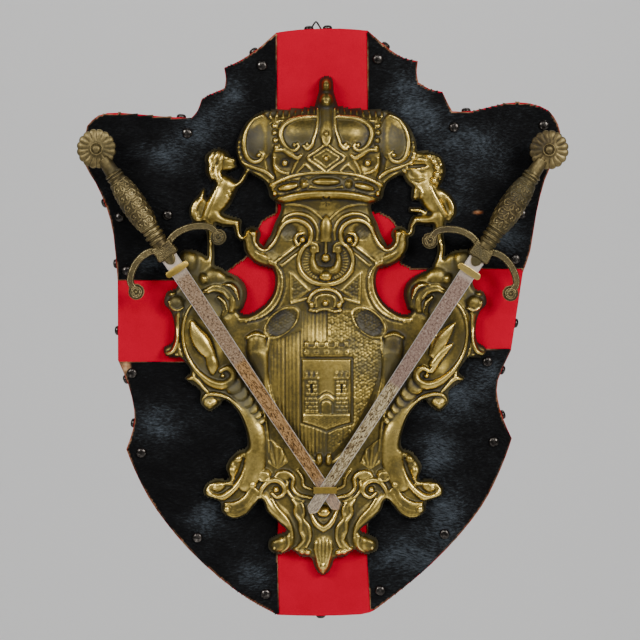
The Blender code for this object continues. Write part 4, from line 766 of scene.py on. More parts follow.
def upper_panel(field):
    """The fan shell, the pebbled triangles and the knot over the shield."""
    field.swell((0, 284), (70, 66), 5)
    # the shell: a sunk bowl, fine ribs in its rim, a smooth crescent inside and a rolled outer ring
    field.dome((0, 262), (25, 21), -2.2, form="flat")
    away, turn = np.hypot(field.u, (field.y - 260.5) * 1.04), np.arctan2(field.y - 260.5, field.u)
    rim = np.clip(1.0 - ((away - 18.5) / 4.6) ** 2, 0.0, 1.0) * (turn > -0.55)
    field.carving += rim * (1.6 + 0.9 * np.sin(turn * 44.0))
    curl(field, [(8, 251, 1.4), (8.5, 246, 1.8), (13, 243, 2.2), (19.5, 245, 2.4), (24.5, 251, 2.6),
                 (27, 260, 2.6), (25, 270, 2.8), (18, 278, 3.0), (9, 282.5, 3.0), (-4, 284.5, 3.0)], 3.6,
         (12.5, 248), 2.8)
    field.stroke([(12.5, 253, 2.4), (13, 262, 3.8), (9, 269.5, 4.6), (-4, 272.5, 4.6)], 2.6, form="soft")
    field.dome((12.2, 249.2), (4.6, 4.6), 3.4)
    field.dome((0, 257.5), (4.6, 4.6), 5.6)
    field.dome((0, 275.5), (6.6, 5.4), 6.4)
    field.stroke([(0, 240, 1.4), (0, 252, 1.6)], 2.0)
    # triangles
    triangle = [(34.5, 272.5), (34, 302), (16.5, 290)]
    field.texture(triangle, pebbles(3.4, 1.4, 3.0))
    field.paint_patina_and_shade(triangle, 0.17)
    field.border(triangle, 1.5, 1.5)
    # knot: a doubled arch over a ringed boss, twisted knobs and straps to the sides
    field.dome((0, 301), (18, 11), 2.2, form="flat")
    field.stroke([(-4, 288, 2.0), (7, 289.5, 2.2), (13.5, 294, 2.4), (17, 300.5, 2.4)], 5.2)
    field.stroke([(-4, 293.5, 1.2), (6, 295, 1.3), (9.5, 299, 1.4), (9, 306, 1.2)], 4.4)
    field.dome((0, 302.5), (4.0, 3.8), 6.4)
    field.ring((0, 302.5), (5.8, 5.4), 1.0, 1.6)
    field.dome((13.8, 304), (3.6, 4.2), 6.0, angle=20)
    field.ring((13.8, 304), (2.0, 2.6), 0.8, 3.6, angle=20)
    field.stroke([(-4, 308.2, 1.6), (4, 308.6, 1.8), (9, 310.4, 2.0), (15, 309.4, 2.0)], 4.0)
    field.stroke([(34, 302.5, 1.4), (26, 300, 1.8), (18, 297.5, 2.0)], 2.8)
    # rounded border and ridge round the side window
    window = [(50, 263), (45, 271), (43, 281), (44.5, 293), (49.5, 304), (57.5, 312.5), (68, 318.5),
              (79, 321)]
    field.stroke([(x + 4.6, y - 1.5, 3.8) for x, y in window], 1.8, form="soft")
    field.stroke([(x, y, 1.5) for x, y in window], 2.6)
    field.stroke([(x - 2.6, y + 1.0, 1.4) for x, y in window], -0.8)


def shield(field):
    """The convex shield field with its rim, ovals and side lobes."""
    field.swell((0, 385), (64, 96), 11)
    # sunk ovals with a fine rim
    field.dome((43.5, 322), (19, 10.5), -2.2, angle=40, form="flat")
    field.ring((43.5, 322), (19.5, 11), 1.1, 1.9, angle=40)
    # rim that runs down both sides of the field to its point
    rim = [(56, 338), (57.5, 352), (57.5, 370), (55.5, 388), (50, 407), (40, 427), (28, 445), (15, 457),
           (8, 462)]
    field.stroke([(x + 3.4, y + 1.6, 2.2) for x, y in rim], -1.6, form="soft")
    field.stroke([(x, y, 1.7) for x, y in rim], 2.4)
    # full hanging lobes beside the field, with a rolled top
    field.stroke([(68, 341, 10), (67, 352, 10.5), (63.5, 366, 7.5), (60, 384, 3.8), (57, 400, 2.0)], 6.0)
    field.stroke([(77, 337, 3.0), (69, 334, 4.4), (60, 336, 3.0)], 5.4, form="soft")
    # painted shade on the lobes, where the blades' shadows fall
    field.paint_patina_and_shade([(56, 345), (62, 333), (78, 333), (80, 352), (68, 382), (60, 396)], 0.15)
    field.dome((4.6, 458.5), (3.6, 6.5), 6)


# The leaves inside the long shells, which differ: a height, then the stroke of each finger
LEAVES = [
    (6.4, [(193, 322, 2.5), (196, 331, 6.0), (202, 341, 8.6), (208, 350, 7.0), (214, 358, 3.5)]),
    (5.8, [(210, 354, 4.5), (213, 363, 6.4), (213, 371, 3.5)]),
    (3.2, [(204, 338, 2.0), (206, 346, 3.0), (212, 354, 2.0)]),
    (6.4, [(433, 353, 5.0), (439, 341, 7.4), (446, 332, 5.4), (452.5, 324, 2.0)]),
    (5.8, [(433, 363, 4.4), (440, 354, 4.6), (446.5, 347.5, 3.2), (451.5, 343.5, 1.5)]),
    (5.0, [(431, 370, 3.2), (436, 362, 3.2), (441.5, 355.5, 1.6)]),
    (5.0, [(434, 331, 1.8), (436, 343, 2.4), (433, 356, 2.2)]),
]


def husk(field, place, radius):
    """One of a row of overlapping husks: low where the one above covers it, high at its free rim."""
    area, share = field.oval(place, (radius, radius * 0.9), 38)
    along = ((field.y[area] - place[1]) * 0.8 - (field.u[area] - place[0]) * 0.6) / radius
    rise = (0.6 + 5.0 * np.clip(0.5 + 0.55 * along, 0.0, 1.0)) * np.clip(1.0 - share ** 8, 0.0, 1.0)
    field.press(area, share, rise)


def side_scroll(field):
    """The large shell scroll beside the shield, and the stem below it."""
    field.swell((118, 322), (50, 84), 5)
    field.swell((66, 430), (36, 80), 3)
    # overlapping petals along the top
    field.dome((137.5, 261.5), (11.5, 13), 7.5, base=6.5)
    field.paint_patina_and_shade([(124, 246), (151, 246), (151, 276), (124, 276)], 0.14)
    field.dome((110.5, 277), (12.5, 11), 7.5, base=6.5)
    field.dome((121.5, 278), (5, 7), 4.6, angle=20, form="soft")
    field.stroke([(100, 281, 6), (91, 284, 8), (86, 293, 8), (87, 305, 6)], 6.8, base=7)
    field.stroke([(103, 285, 2.0), (95, 284.5, 3.6), (89.5, 289, 4.2), (88, 296, 3.6), (88.5, 304, 2.4)],
                 7.2, form="soft")
    # painted shade on the outer petal
    field.paint_patina_and_shade([(74, 268), (98, 268), (90, 284), (89, 314), (74, 314)], 0.2)
    # eye of the scroll: a sunk socket with two rolled crescents
    field.dome((106, 303), (20, 19), -4.0, form="soft")
    # painted shade in the concave socket
    field.paint_patina_and_shade([(122, 292), (108, 286), (95, 290), (91, 304), (97, 318), (112, 320), (122, 292)], 0.10,
                 parts=3)
    field.stroke([(121, 291, 2.4), (111, 287, 4.4), (100, 289.5, 5.2), (94, 298, 5.0), (93.5, 309, 4.0)],
                 4.2, form="soft")
    field.stroke([(117, 292, 1.2), (110.5, 289.5, 1.8), (102, 291.5, 2.0), (96.5, 298, 1.6)], 5.2)
    field.stroke([(106, 296.5, 2.0), (100.5, 302, 3.4), (99, 309, 3.0), (102, 315, 1.6)], 4.6, form="soft")
    # long shell: a smooth hollow, its thin rim that thickens into a volute, and the leaf inside
    field.dome((119, 338), (21, 42), -4.2, angle=-14, form="soft")
    field.stroke([(141, 300, 2.0), (146, 313, 3.2), (147, 330, 3.6), (144, 348, 3.6), (136, 366, 3.2)], 2.0,
                 form="soft")
    field.stroke([(142.5, 304, 1.0), (144, 318, 1.2), (144.5, 334, 1.2), (142, 351, 1.2), (134, 369, 1.2),
                  (124, 380, 1.0)], -1.6)
    field.stroke([(126, 299, 1.0), (134, 306, 1.3), (139.5, 317, 1.5), (141.5, 331, 1.6), (140, 346, 1.7),
                  (134.5, 360, 2.0), (126, 372, 3.0), (114, 381.5, 4.4), (102, 384.5, 5.0), (93, 380, 4.6),
                  (91.5, 372.5, 3.8), (97, 367.5, 3.0), (104, 370.5, 2.2)], 5.6)
    field.dome((101.5, 375), (2.6, 2.4), 5.0)
    # outer frill: a rolled knob at the top and a fluted column that ends in a knob
    field.dome((148.5, 302), (8, 7.5), 5.4)
    # painted shade on the rolled knob and the top of the frill
    field.paint_patina_and_shade([(138, 286), (166, 286), (166, 314), (138, 314)], 0.13)
    field.stroke([(155.5, 301, 1.2), (153.5, 307, 1.6), (147, 309.5, 1.6), (141.5, 307, 1.2)], 6.0)
    field.dome((153, 292.5), (4.4, 3.6), 3.6)
    field.stroke([(159.5, 310, 1.4), (152.5, 319, 2.0), (148.5, 331, 2.4), (148, 341, 2.4), (151, 350, 2.6),
                  (157, 354, 2.8), (162, 352, 2.4)], 4.6)
    field.stroke([(160, 314, 1.0), (155.5, 322, 1.2), (154, 334, 1.4), (156, 344, 1.2)], 2.4)
    field.stroke([(148, 355, 2.0), (141.5, 361, 2.8), (134.5, 369, 2.6), (129, 377, 2.0)], 4.2)
    field.stroke([(139.5, 379, 3.2), (133, 377, 3.2), (127, 380, 2.8), (121, 387, 2.4), (117, 391, 1.8)],
                 4.6)
    # volute, stem with its bright rim line, and the row of husks
    field.dome((114.5, 403.5), (9.0, 8.6), 4.6)
    field.stroke([(119.5, 410, 1.2), (123.5, 404, 1.8), (121.5, 397, 2.2), (114.5, 393.5, 2.4),
                  (105, 394, 2.6), (95.5, 398.5, 2.8), (86.5, 406.5, 2.8), (80, 417, 2.8), (76.5, 432, 2.6),
                  (76.5, 452, 2.2)], 6.0)
    field.dome((114, 403), (3.2, 3.2), 6.0)
    field.stroke([(88, 404, 6), (78, 417, 9.5), (70.5, 433, 12.5), (68.5, 451, 12.5), (71, 470, 11),
                  (78, 484, 8)], 6.2)
    field.stroke([(60.5, 408, 1.2), (57.5, 424, 1.4), (56, 440, 1.4), (56.5, 458, 1.2)], 2.4)
    for place, radius in (((63, 419), 4.6), ((67, 413.5), 6.0), ((72, 407.5), 7.2), ((77.5, 400.5), 8.4),
                          ((83.5, 393), 9.4), ((90, 385), 10.0)):
        husk(field, place, radius)
    # painted shade over the overlapping husks
    field.paint_patina_and_shade([(56, 424), (64, 400), (80, 378), (100, 378), (94, 396), (70, 424)], 0.16)


def lower_scroll(field):
    """The foot of the cartouche: leaves, scrolls, ridge work and the drop."""
    field.swell((44, 500), (66, 52), 3)
    field.swell((0, 522), (40, 60), 5)
    # small fan panels beside the point of the shield, pleated out from a point at their foot
    panel = [(56, 438), (56, 462), (46, 468), (37, 462), (42, 449)]
    field.texture(panel, lambda x, y: 1.2 + 0.8 * np.sin(np.arctan2(x - 46.0, 474.0 - y) * 22.0))
    field.border(panel, 0.9, 1.6)
    # leaf with a lobed edge whose long rib ends in the hooked volute
    field.stroke([(80, 452, 5), (88, 458, 7.5), (93, 468, 8.5), (94, 479, 7)], 4.4)
    for place, radii, angle in (((86.5, 457.5), (6.0, 5.4), 0), ((92.5, 470.5), (6.4, 8.0), -10)):
        field.dome(place, radii, 6.8, angle=angle)
    field.stroke([(80, 458, 1.2), (83.5, 470, 1.8), (90, 482, 1.4)], -0.6)
    field.dome((108.5, 482.5), (11, 10.5), 4.6)
    curl(field, [(76, 448, 1.8), (77.5, 463, 2.4), (82, 477, 3.0), (90, 488.5, 3.6), (101, 496.5, 4.2),
                 (111.5, 496, 4.2), (117, 489, 3.6), (114.5, 482, 2.8), (109, 480.5, 2.2)], 5.6, (109, 487),
         3.6)
    field.stroke([(115.5, 489, 1.2), (113.5, 484, 1.6), (108, 483.5, 1.6), (105.5, 487, 1.2)], 5.8)
    # second leaf: a fluted band between two ribs, ending in a knob
    field.stroke([(70, 492, 6), (76, 502, 7.5), (86, 508.5, 8), (94, 509, 7)], 3.6, form="flat")
    field.stroke([(66, 497, 1.6), (71, 507, 2.0), (80, 514.5, 2.2), (90, 517, 2.2), (98, 514, 2.0)], 5.0)
    field.stroke([(73, 488, 1.6), (79, 497, 2.0), (88, 502.5, 2.2), (98, 503.5, 2.0)], 5.0)
    field.stroke([(69.5, 494, 0.8), (75, 503, 1.0), (84, 509.5, 1.0), (92, 511, 0.9)], 4.4)
    field.dome((97, 508.5), (5.0, 5.0), 7.0)
    # balls and small fans over the cross-bar
    field.dome((71.5, 484), (4.6, 4.6), 5.6)
    field.dome((60, 474.5), (8.0, 7.0), 4.6)
    field.ring((60, 476), (5.0, 4.2), 1.0, 5.2)
    field.dome((41, 474.5), (8.0, 6.0), 4.0, angle=-20)
    # waves that run in towards the crossing
    field.stroke([(50, 478, 1.4), (44, 472, 2.0), (36, 472, 2.4), (30.5, 478, 2.4), (31, 487, 2.2),
                  (25, 494, 2.2), (13, 497, 2.0)], 4.6)
    field.stroke([(40, 478.5, 1.2), (36.5, 481.5, 1.6), (36.5, 489, 1.8), (30.5, 497, 1.8),
                  (20, 500.5, 1.4)], 3.4)
    field.stroke([(26, 470, 1.2), (21.5, 477, 1.6), (20, 485, 1.6), (12, 489, 1.2)], 3.4)
    # volute over the leg
    curl(field, [(64, 500, 2.2), (62, 489, 2.8), (55.5, 481, 3.2), (46.5, 479.5, 3.2), (39.5, 485.5, 3.0),
                 (40, 493, 2.6), (46.5, 496.5, 2.2), (52, 492.5, 1.8)], 5.2, (47.5, 488.5), 3.4)
    # legs down to the balls of the lower volutes
    field.stroke([(60, 497, 7), (52.5, 508, 9.5), (43, 517, 10), (36.5, 528, 9), (34.5, 540, 7),
                  (39, 549, 4.5)], 4.6, form="soft")
    field.stroke([(62, 503, 1.8), (54.5, 513.5, 2.4), (44.5, 521, 2.8), (37.5, 530, 2.8), (34.5, 540, 2.4),
                  (36.5, 548, 2.0), (42, 553, 1.6)], 5.2)
    field.stroke([(52, 498, 1.4), (46, 508, 2.0), (38, 517, 2.4), (32.5, 527, 2.2), (31, 537, 1.6)], 5.0)
    field.dome((45.5, 543), (9.2, 9.6), 6.6)
    field.paint_patina_and_shade([(37, 543), (46, 534), (55, 543), (46, 552), (37, 543)], 0.14, parts=3)
    field.dome((49, 547.5), (2.6, 2.4), 7.6)
    # wavy frills fused into one band inside each leg
    field.stroke([(27, 498, 5.5), (24.5, 510, 7), (21, 522, 7.5), (17.5, 534, 7.5), (21, 547, 6.5)], 3.4,
                 form="soft")
    field.stroke([(31, 499, 1.6), (27.5, 505, 2.2), (28, 513, 2.2), (23, 521, 2.6), (22.5, 530, 2.6),
                  (19.5, 539, 2.6), (25, 547, 2.0)], 5.2)
    field.stroke([(22, 502, 1.4), (19.5, 510, 1.9), (20.5, 518, 2.0), (14.5, 526, 2.2), (13.5, 537, 2.2),
                  (17, 546, 1.8)], 4.8)
    for place in ((27, 549.5), (21.5, 551.5), (15.5, 552)):
        field.dome(place, (3.6, 3.2), 5.0)
    # V ridge, boss and fluted drop
    field.stroke([(15, 505, 1.8), (11.5, 515, 2.6), (6, 524, 3.6), (-3, 529.5, 4.0)], 6.0)
    field.dome((0, 511.5), (10, 9), -2.0, form="soft")
    field.dome((0, 511), (6.8, 5.6), 6.6)
    field.stroke([(0, 534, 7), (0, 545, 11), (0, 557, 9.5), (0, 567, 6), (0, 573, 3.2)], 6.5, base=6.5)
    for start in (0.0, 3.6, 7.2):
        field.stroke([(start, 537 + start * 0.7, 1.4), (start * 1.1, 548, 2.0), (start * 0.75, 560, 1.5),
                      (start * 0.4, 569, 0.9)], 1.9, form="soft")
    field.dome((0, 566), (3.6, 5.4), 3.0, form="soft")
    # painted highlight: the stems and the foot are painted brighter than the rest
    field.paint_patina_and_shade([(-9, 534), (9, 534), (12, 548), (7, 576), (-7, 576)], -0.06)
    field.paint_patina_and_shade([(58, 405), (92, 405), (80, 450), (98, 500), (60, 500)], -0.10)
    field.paint_patina_and_shade([(0, 468), (60, 470), (120, 480), (112, 516), (64, 505), (40, 556), (0, 574)], -0.05)


# The lions, limb by limb: a height, then (place, level, half width) down the limb
LIONS = {
    "left": [
        (9.0, [(214, 160, 9), (220, 159, 10.5), (226, 162, 7)]),
        (7.5, [(226, 161.5, 6), (233, 162, 4.6)]),
        (7.0, [(224, 168, 5), (231, 167.5, 4.2), (235, 166, 3)]),
        (9.0, [(211, 164, 4.5), (210.5, 171, 5), (213, 178, 4)]),
        (9.5, [(218, 168, 6), (219, 177, 7), (226, 184, 9)]),
        (9.5, [(227, 187, 11.5), (221, 198, 12), (214, 208, 10), (209, 217, 7.5)]),
        (7.5, [(234, 187, 4.5), (241, 182, 3.4), (245.5, 175, 3.0), (248.5, 168, 3.0)]),
        (8.5, [(215, 215, 7.5), (223, 220, 6.5), (233, 222, 5.4), (238, 222, 4.2)]),
        (7.5, [(237.5, 222, 4.2), (238, 230, 3.4), (240, 236.5, 3.2), (247, 240, 3.0)]),
        (8.0, [(210, 218, 7), (211, 229, 4.8), (211, 242, 3.4), (211, 254, 3.6), (211, 268, 3.6)]),
        (7.0, [(205, 221, 3), (197, 219, 4.4), (194, 212, 4.4), (196.5, 204, 4.4), (202, 197, 3.8),
               (204, 190, 2)]),
        (5.0, [(203, 200, 4.5), (200, 213, 5)]),
    ],
    "right": [
        (4.5, [(404, 150, 7), (410, 160, 9), (412, 172, 7.5)]),
        (8.0, [(415, 156, 5.5), (421, 158, 7), (428, 160, 8.5)]),
        (7.0, [(419, 169, 4), (427, 171, 6), (427, 180, 7)]),
        (6.0, [(414, 173, 5), (419, 177, 6), (424, 183, 6)]),
        (9.5, [(429, 161, 8.5), (434, 164, 9.5), (436, 172, 9), (434, 180, 8)]),
        (9.5, [(424, 185, 10), (429, 194, 12.5), (435, 205, 10.5), (441, 214, 7.5)]),
        (7.5, [(404, 172, 3.4), (409.5, 180, 4.2), (418, 185, 6)]),
        (7.0, [(417, 189, 5.5), (415, 197, 4.5)]),
        (8.5, [(438, 217, 7.5), (427, 220, 5.6), (416, 219.5, 4.8)]),
        (7.5, [(415, 219.5, 4.6), (411.5, 226, 3.6), (410, 233, 3.4), (400, 237.5, 3.2)]),
        (8.0, [(439, 222, 7), (438.5, 234, 4.8), (441, 246, 3.8), (440, 256, 3.8), (436, 266, 4.2)]),
        (7.0, [(440, 191, 3.5), (448, 199, 4.5), (452, 210, 4.8), (448, 219, 4)]),
        (5.0, [(411, 210, 3), (419, 210.5, 3.4), (426, 213, 1.8)]),
    ],
}
# Locks of the manes, the back ridges, the tails' hair and the faces: a height, then the stroke
LION_CARVING = {
    "left": [
        (2.2, [(214, 152, 1.6), (210, 159, 2.0), (211, 166, 1.6)]),
        (2.2, [(219, 151, 1.6), (216, 158, 2.2), (214, 166, 1.8)]),
        (2.2, [(224, 153, 1.6), (222, 160, 2.2), (219, 168, 1.8)]),
        (2.2, [(212, 167, 1.6), (211, 173, 2.0), (214, 180, 1.4)]),
        (2.2, [(217, 167, 1.6), (216, 174, 2.2), (218, 182, 1.6)]),
        (2.2, [(222, 165, 1.6), (221, 172, 2.0), (222, 179, 1.6)]),
        (2.4, [(227, 158, 1.4), (232, 158.5, 1.8), (236, 161, 1.4)]),
        (-0.8, [(229, 166, 0.8), (233, 166.2, 1.0), (237, 165, 0.8)]),
        (2.0, [(220, 181, 1.2), (215, 192, 2.0), (209, 205, 2.6), (204, 218, 2.6)]),
        (1.6, [(229, 191, 1.0), (232, 194, 1.4)]),
        (1.6, [(227, 196, 1.0), (231, 199, 1.4)]),
        (2.0, [(192, 215, 1.2), (192, 208, 1.4), (196, 200, 1.2)]),
        (1.6, [(197, 216, 1.0), (197, 208, 1.2), (201, 200, 1.0)]),
        (2.0, [(211, 241, 2.2), (214, 244, 2.0)]),
    ],
    "right": [
        (2.6, [(417, 160, 1.4), (421, 159.5, 1.8), (425, 161, 1.2)]),
        (2.6, [(417, 167.5, 1.4), (422, 168.5, 1.6), (427, 167, 1.2)]),
        (-4.0, [(409, 167, 1.6), (417, 166.5, 2.2), (424, 166, 1.2)]),
        (-1.2, [(410, 180, 1.0), (418, 181, 1.4), (424, 179, 1.0)]),
        (2.2, [(430, 186, 1.4), (434, 196, 2.2), (440, 206, 2.6), (445, 215, 2.4)]),
        (1.8, [(412, 188, 1.2), (414, 192, 1.6), (413, 197, 1.2)]),
        (1.6, [(419, 188, 1.2), (421, 194, 1.6), (419, 199, 1.2)]),
        (1.6, [(447, 197, 1.0), (452, 205, 1.4), (452, 214, 1.0)]),
        (2.0, [(438, 243, 2.4), (442, 246, 2.0)]),
    ],
}


# Curls of the right lion's mane: rows down its neck
MANE = [(428, 155.5), (434, 155), (439.5, 158.5), (442.5, 164.5), (443, 171.5), (442, 178.5),
        (438.5, 184.5), (433.5, 161.5), (437, 168), (436.5, 175), (433.5, 181)]


def lion(field, side):
    """A standing lion, cast with the sheet beside the crown; its feet run into the scrolls."""
    for height, limb in LIONS[side]:
        field.stroke(limb, height, base=2.5, blend=3.0)
    for height, mark in LION_CARVING[side]:
        field.stroke(mark, height)
    if side == "right":
        for place in MANE:
            field.dome(place, (4.6, 3.6), 4.6, angle=30)


def escutcheon(field):
    """The shield's own ground: stripes, pebbles, and a framed castle gate under a wall crown."""
    striped = [(300, 309), (300, 330), (274, 340), (273, 360), (274, 385), (279, 405), (288, 425),
               (299, 441), (311, 453), (325, 460), (327.5, 460), (327.5, 309)]
    field.texture(striped, stripes(3.75, 1.7))
    pebbled = [(327.5, 309), (352, 309), (360, 330), (381, 342), (383, 352), (381, 366), (375, 385),
               (367, 405), (353, 429), (339, 446), (327.5, 459)]
    field.texture(pebbled, pebbles(3.3, 1.4, 1.0))
    # two plain grounds: the panel, edged by a dark groove, and the wall of the crown above it
    panel = [(301, 357), (352, 357), (352, 422), (338, 426), (326.5, 431), (315, 426), (301, 422)]
    crown_wall = [(305, 356), (303, 341), (350, 341), (348, 356)]
    for plain in (panel, crown_wall):
        mask = np.clip(field.distance_inside(plain, 1) / 0.8, 0.0, 1.0)
        field.carving = field.carving * (1.0 - mask) + 0.4 * mask
    field.paint_patina_and_shade(panel, -0.08)
    field.paint_patina_and_shade(crown_wall, 0.12)
    field.border(panel, 1.3, -1.5)
    field.texture([(303, 413), (350, 413), (350, 421), (326.5, 428), (303, 421)], pebbles(2.4, 1.2, 5.0))
    # two brick towers, each with three merlons, and the gate between them
    for middle in (311.5, 341.5):
        tower = [(middle - 7, 412), (middle - 5, 378), (middle + 5, 378), (middle + 7, 412)]
        # bricks 5.2 by 4.2 mm, with joints of 1.2 mm
        field.texture(tower, lambda x, y: 0.4 + 1.0 * (
            (np.mod(y, 4.2) > 1.2) & (np.mod(x + 2.6 * (np.floor(y / 4.2) % 2), 5.2) > 1.2)))
        field.paint_patina_and_shade([(middle - 9, 368), (middle + 9, 368), (middle + 10, 413), (middle - 10, 413)], 0.17)
        field.stroke([(middle - 6.5, 377, 1.4), (middle + 6.5, 377, 1.4)], 1.8)
        for step in (-5, 0, 5):
            field.stroke([(middle + step, 372, 1.6), (middle + step, 375, 1.6)], 1.8)
        field.stroke([(middle, 384, 1.5), (middle, 390, 1.5)], -2.0)
    field.stroke([(318, 396, 1.2), (326.5, 391, 1.2), (335, 396, 1.2)], -1.4)
    field.stroke([(320.5, 412, 1.1), (321, 402, 1.1), (326.5, 398, 1.1), (332, 402, 1.1),
                  (332.5, 412, 1.1)], -1.4)
    # wall crown above the panel
    field.texture([(305, 355.5), (304, 347), (349, 347), (348, 355.5)], lambda x, y: np.full(x.shape, 1.1))
    field.stroke([(304, 346.5, 0.9), (349, 346.5, 0.9)], 2.0)
    for step in range(5):
        place = 306.5 + 10.0 * step
        field.stroke([(place, 342.5, 2.2), (place, 345, 2.2)], 2.2, form="flat")
        field.ring((place, 351.5), (1.9, 1.9), 0.9, 2.4)


def coat_of_arms():
    """The stamped sheet with all its ornament, in place of the plainer solid."""
    field = Relief(152, 74, 500, 586, PITCH)
    field.fold(AXIS - AXIS_LEAN * np.clip(field.y - LEAN_FROM, 0.0, None))
    field.region(ARMS_OUTLINE)
    for section in (crown, neck, upper_panel, shield, side_scroll, lower_scroll):
        section(field)
    # stippled ovals and cross-hatched dishes
    area, share = field.oval((43.5, 322), (17.5, 9.2), 40)
    stipple = pebbles(3.1, 1.7, 2.0)(field.u[area], field.y[area])
    field.carving[area] += np.where(share < 1.0, stipple, 0.0)
    field.texture([(28, 225), (37, 224), (43, 231), (42, 240), (30, 240)],
                  lambda x, y: stripes(3.0, 0.7, 45)(x, y) + stripes(3.0, 0.7, -45)(x, y))
    field.paint_patina_and_shade([(30, 330), (32, 313), (46, 307), (58, 318), (56, 334), (42, 338), (30, 330)], 0.22,
                 parts=3)
    field.unfold()
    escutcheon(field)
    # the leaves, a little lower than the rims that they lie in
    for height, finger in LEAVES:
        field.stroke(finger, height * 0.85)
    field.stroke([(194, 344, 1.0), (201, 350, 1.5), (208, 354.5, 1.2)], 1.6)
    # painted highlight: the leaves are painted brighter
    field.paint_patina_and_shade([(186, 318), (206, 318), (224, 345), (224, 376), (205, 370), (190, 345)], -0.12)
    field.paint_patina_and_shade([(425, 374), (427, 345), (440, 325), (458, 318), (458, 345), (445, 374)], -0.12)
    for side in LIONS:
        lion(field, side)
    # the lions stand clear of the sheet and are painted brighter: partly rubbing, partly painted highlight
    field.paint_patina_and_shade([(188, 146), (238, 146), (238, 215), (250, 240), (250, 262), (188, 262)], -0.07)
    field.paint_patina_and_shade([(410, 148), (460, 148), (460, 262), (398, 262), (398, 228), (412, 215)], -0.12)
    field.body = blurred(field.body, 1.2 / PITCH)
    shell = relief_shell(field, WALL, TURN, ARMS_BACK)
    add_piece("coat_of_arms_relief", shell, BRASS, "coat_of_arms")


# Felt, hides and board

def felt():
    """The red felt: the solid's form with its front rim softly rounded."""
    shell = solid_copy("red_felt")
    front = min(spot.co.y for spot in shell.verts)
    rim = [edge for edge in shell.edges
           if all(abs(spot.co.y - front) < 1e-5 for spot in edge.verts) and edge.calc_face_angle(0.0) > 0.8]
    bmesh.ops.bevel(shell, geom=rim, offset=0.8 * MM, segments=4, affect="EDGES", profile=0.5, material=-1)
    piece = add_piece("felt_cover", shell, FELT, "red_felt", smooth=False)
    return piece


def front_outline(name):
    """The outline of a flat solid's front, as places on the sheet."""
    shell = solid_copy(name)
    face = max((face for face in shell.faces if face.normal.y < -0.9), key=lambda face: face.calc_area())
    places = [(spot.co.x / MM + HANGER[0], HANGER[1] - spot.co.z / MM) for spot in face.verts]
    shell.free()
    return places


# Painted sheen on the hides, where the hair would catch the lamps: place, reach across and down
PAINTED_SHEEN = [
    ((200, 128), (26, 22)), ((172, 158), (24, 20)), ((215, 205), (20, 26)), ((232, 96), (16, 20)),
    ((150, 262), (16, 12)), ((408, 88), (24, 22)), ((470, 150), (44, 36)), ((440, 205), (26, 24)),
    ((505, 235), (20, 22)), ((420, 120), (24, 18)), ((455, 400), (34, 26)), ((435, 452), (24, 20)),
    ((408, 560), (38, 30)), ((448, 515), (28, 34)), ((488, 372), (18, 16)), ((160, 425), (26, 22)),
    ((250, 575), (20, 18)), ((205, 520), (20, 24)),
]
# The hides, each with its small patches where the hair is gone: place and radii
HIDES = {
    "hide_upper_left": [],
    "hide_upper_right": [((477.5, 212.5), (4.2, 1.7))],
    "hide_lower_left": [((126, 367), (4.4, 5.6))],
    "hide_lower_right": [],
}


def hide(name, bald):
    """One hide: a soft rounded sheet of hair with a slightly ragged cut edge."""
    outline = front_outline(name)
    west, north = np.min(outline, axis=0) - 4
    east, south = np.max(outline, axis=0) + 4
    field = Relief(west, north, east, south, 1.4)
    x, y = field.x, field.y
    ragged = 0.10 * np.sin(x * 0.9 + 1.3 * np.sin(y * 0.37)) * np.sin(y * 1.1 + x * 0.23)
    field.inside = field.distance_inside(outline, 1) + HIDE_OVERHANG + ragged
    thick = HIDE_FRONT - FELT_FRONT - HIDE_GAP
    # the glued hide lies in slow swells of 0.35 mm
    swells = 0.5 + 0.25 * (np.sin(x / 17.0 + 1.7 * np.sin(y / 29.0)) + np.sin(y / 13.0 + x / 37.0))
    field.body = np.where(field.inside > -field.pitch, thick - 0.35 + 0.35 * swells, 0.0)
    shell = relief_shell(field, HIDE_WALL, 2.4, FELT_FRONT + HIDE_GAP)
    # marks for the material: bare hide on the cut edge and in the bald patches, and the painted sheen
    bare = shell.verts.layers.float.new("bare")
    painted_sheen = shell.verts.layers.float.new("painted_sheen")
    hair_line = -(FELT_FRONT + HIDE_GAP + HIDE_WALL + 0.05) * MM
    for spot in shell.verts:
        x, y = spot.co.x / MM + HANGER[0], HANGER[1] - spot.co.z / MM
        spot[bare] = 0.4 + 0.4 * math.sin(x * 0.11 + y * 0.07) if spot.co.y > hair_line else 0.0
        spot[painted_sheen] = min(1.0, sum(math.exp(-((x - cx) / rx) ** 2 - ((y - cy) / ry) ** 2)
                                 for (cx, cy), (rx, ry) in PAINTED_SHEEN))
        for (cx, cy), (rx, ry) in bald:
            away = math.hypot((x - cx) / rx, (y - cy) / ry)
            spot[bare] = max(spot[bare], min(1.0, max(0.0, 1.6 - 1.2 * away)))
    add_piece(name + "_hair", shell, HIDE, name)


def board():
    """The beech board with its edges broken."""
    shell = solid_copy("board")
    rim = [edge for edge in shell.edges if edge.calc_face_angle(0.0) > 1.0]
    bmesh.ops.bevel(shell, geom=rim, offset=0.7 * MM, segments=2, affect="EDGES", profile=0.5, material=-1)
    add_piece("beech_shield", shell, BEECH, "board", smooth=False)


# Tacks and hanger

# Radius and rise of the tacks' heads, on the face and round the edge
TACK_HEADS = {"face": (5.2, 3.2), "edge": (4.8, 3.6)}
STEEP = 0.9                     # an edge that turns by more than this, in radians, is rounded over


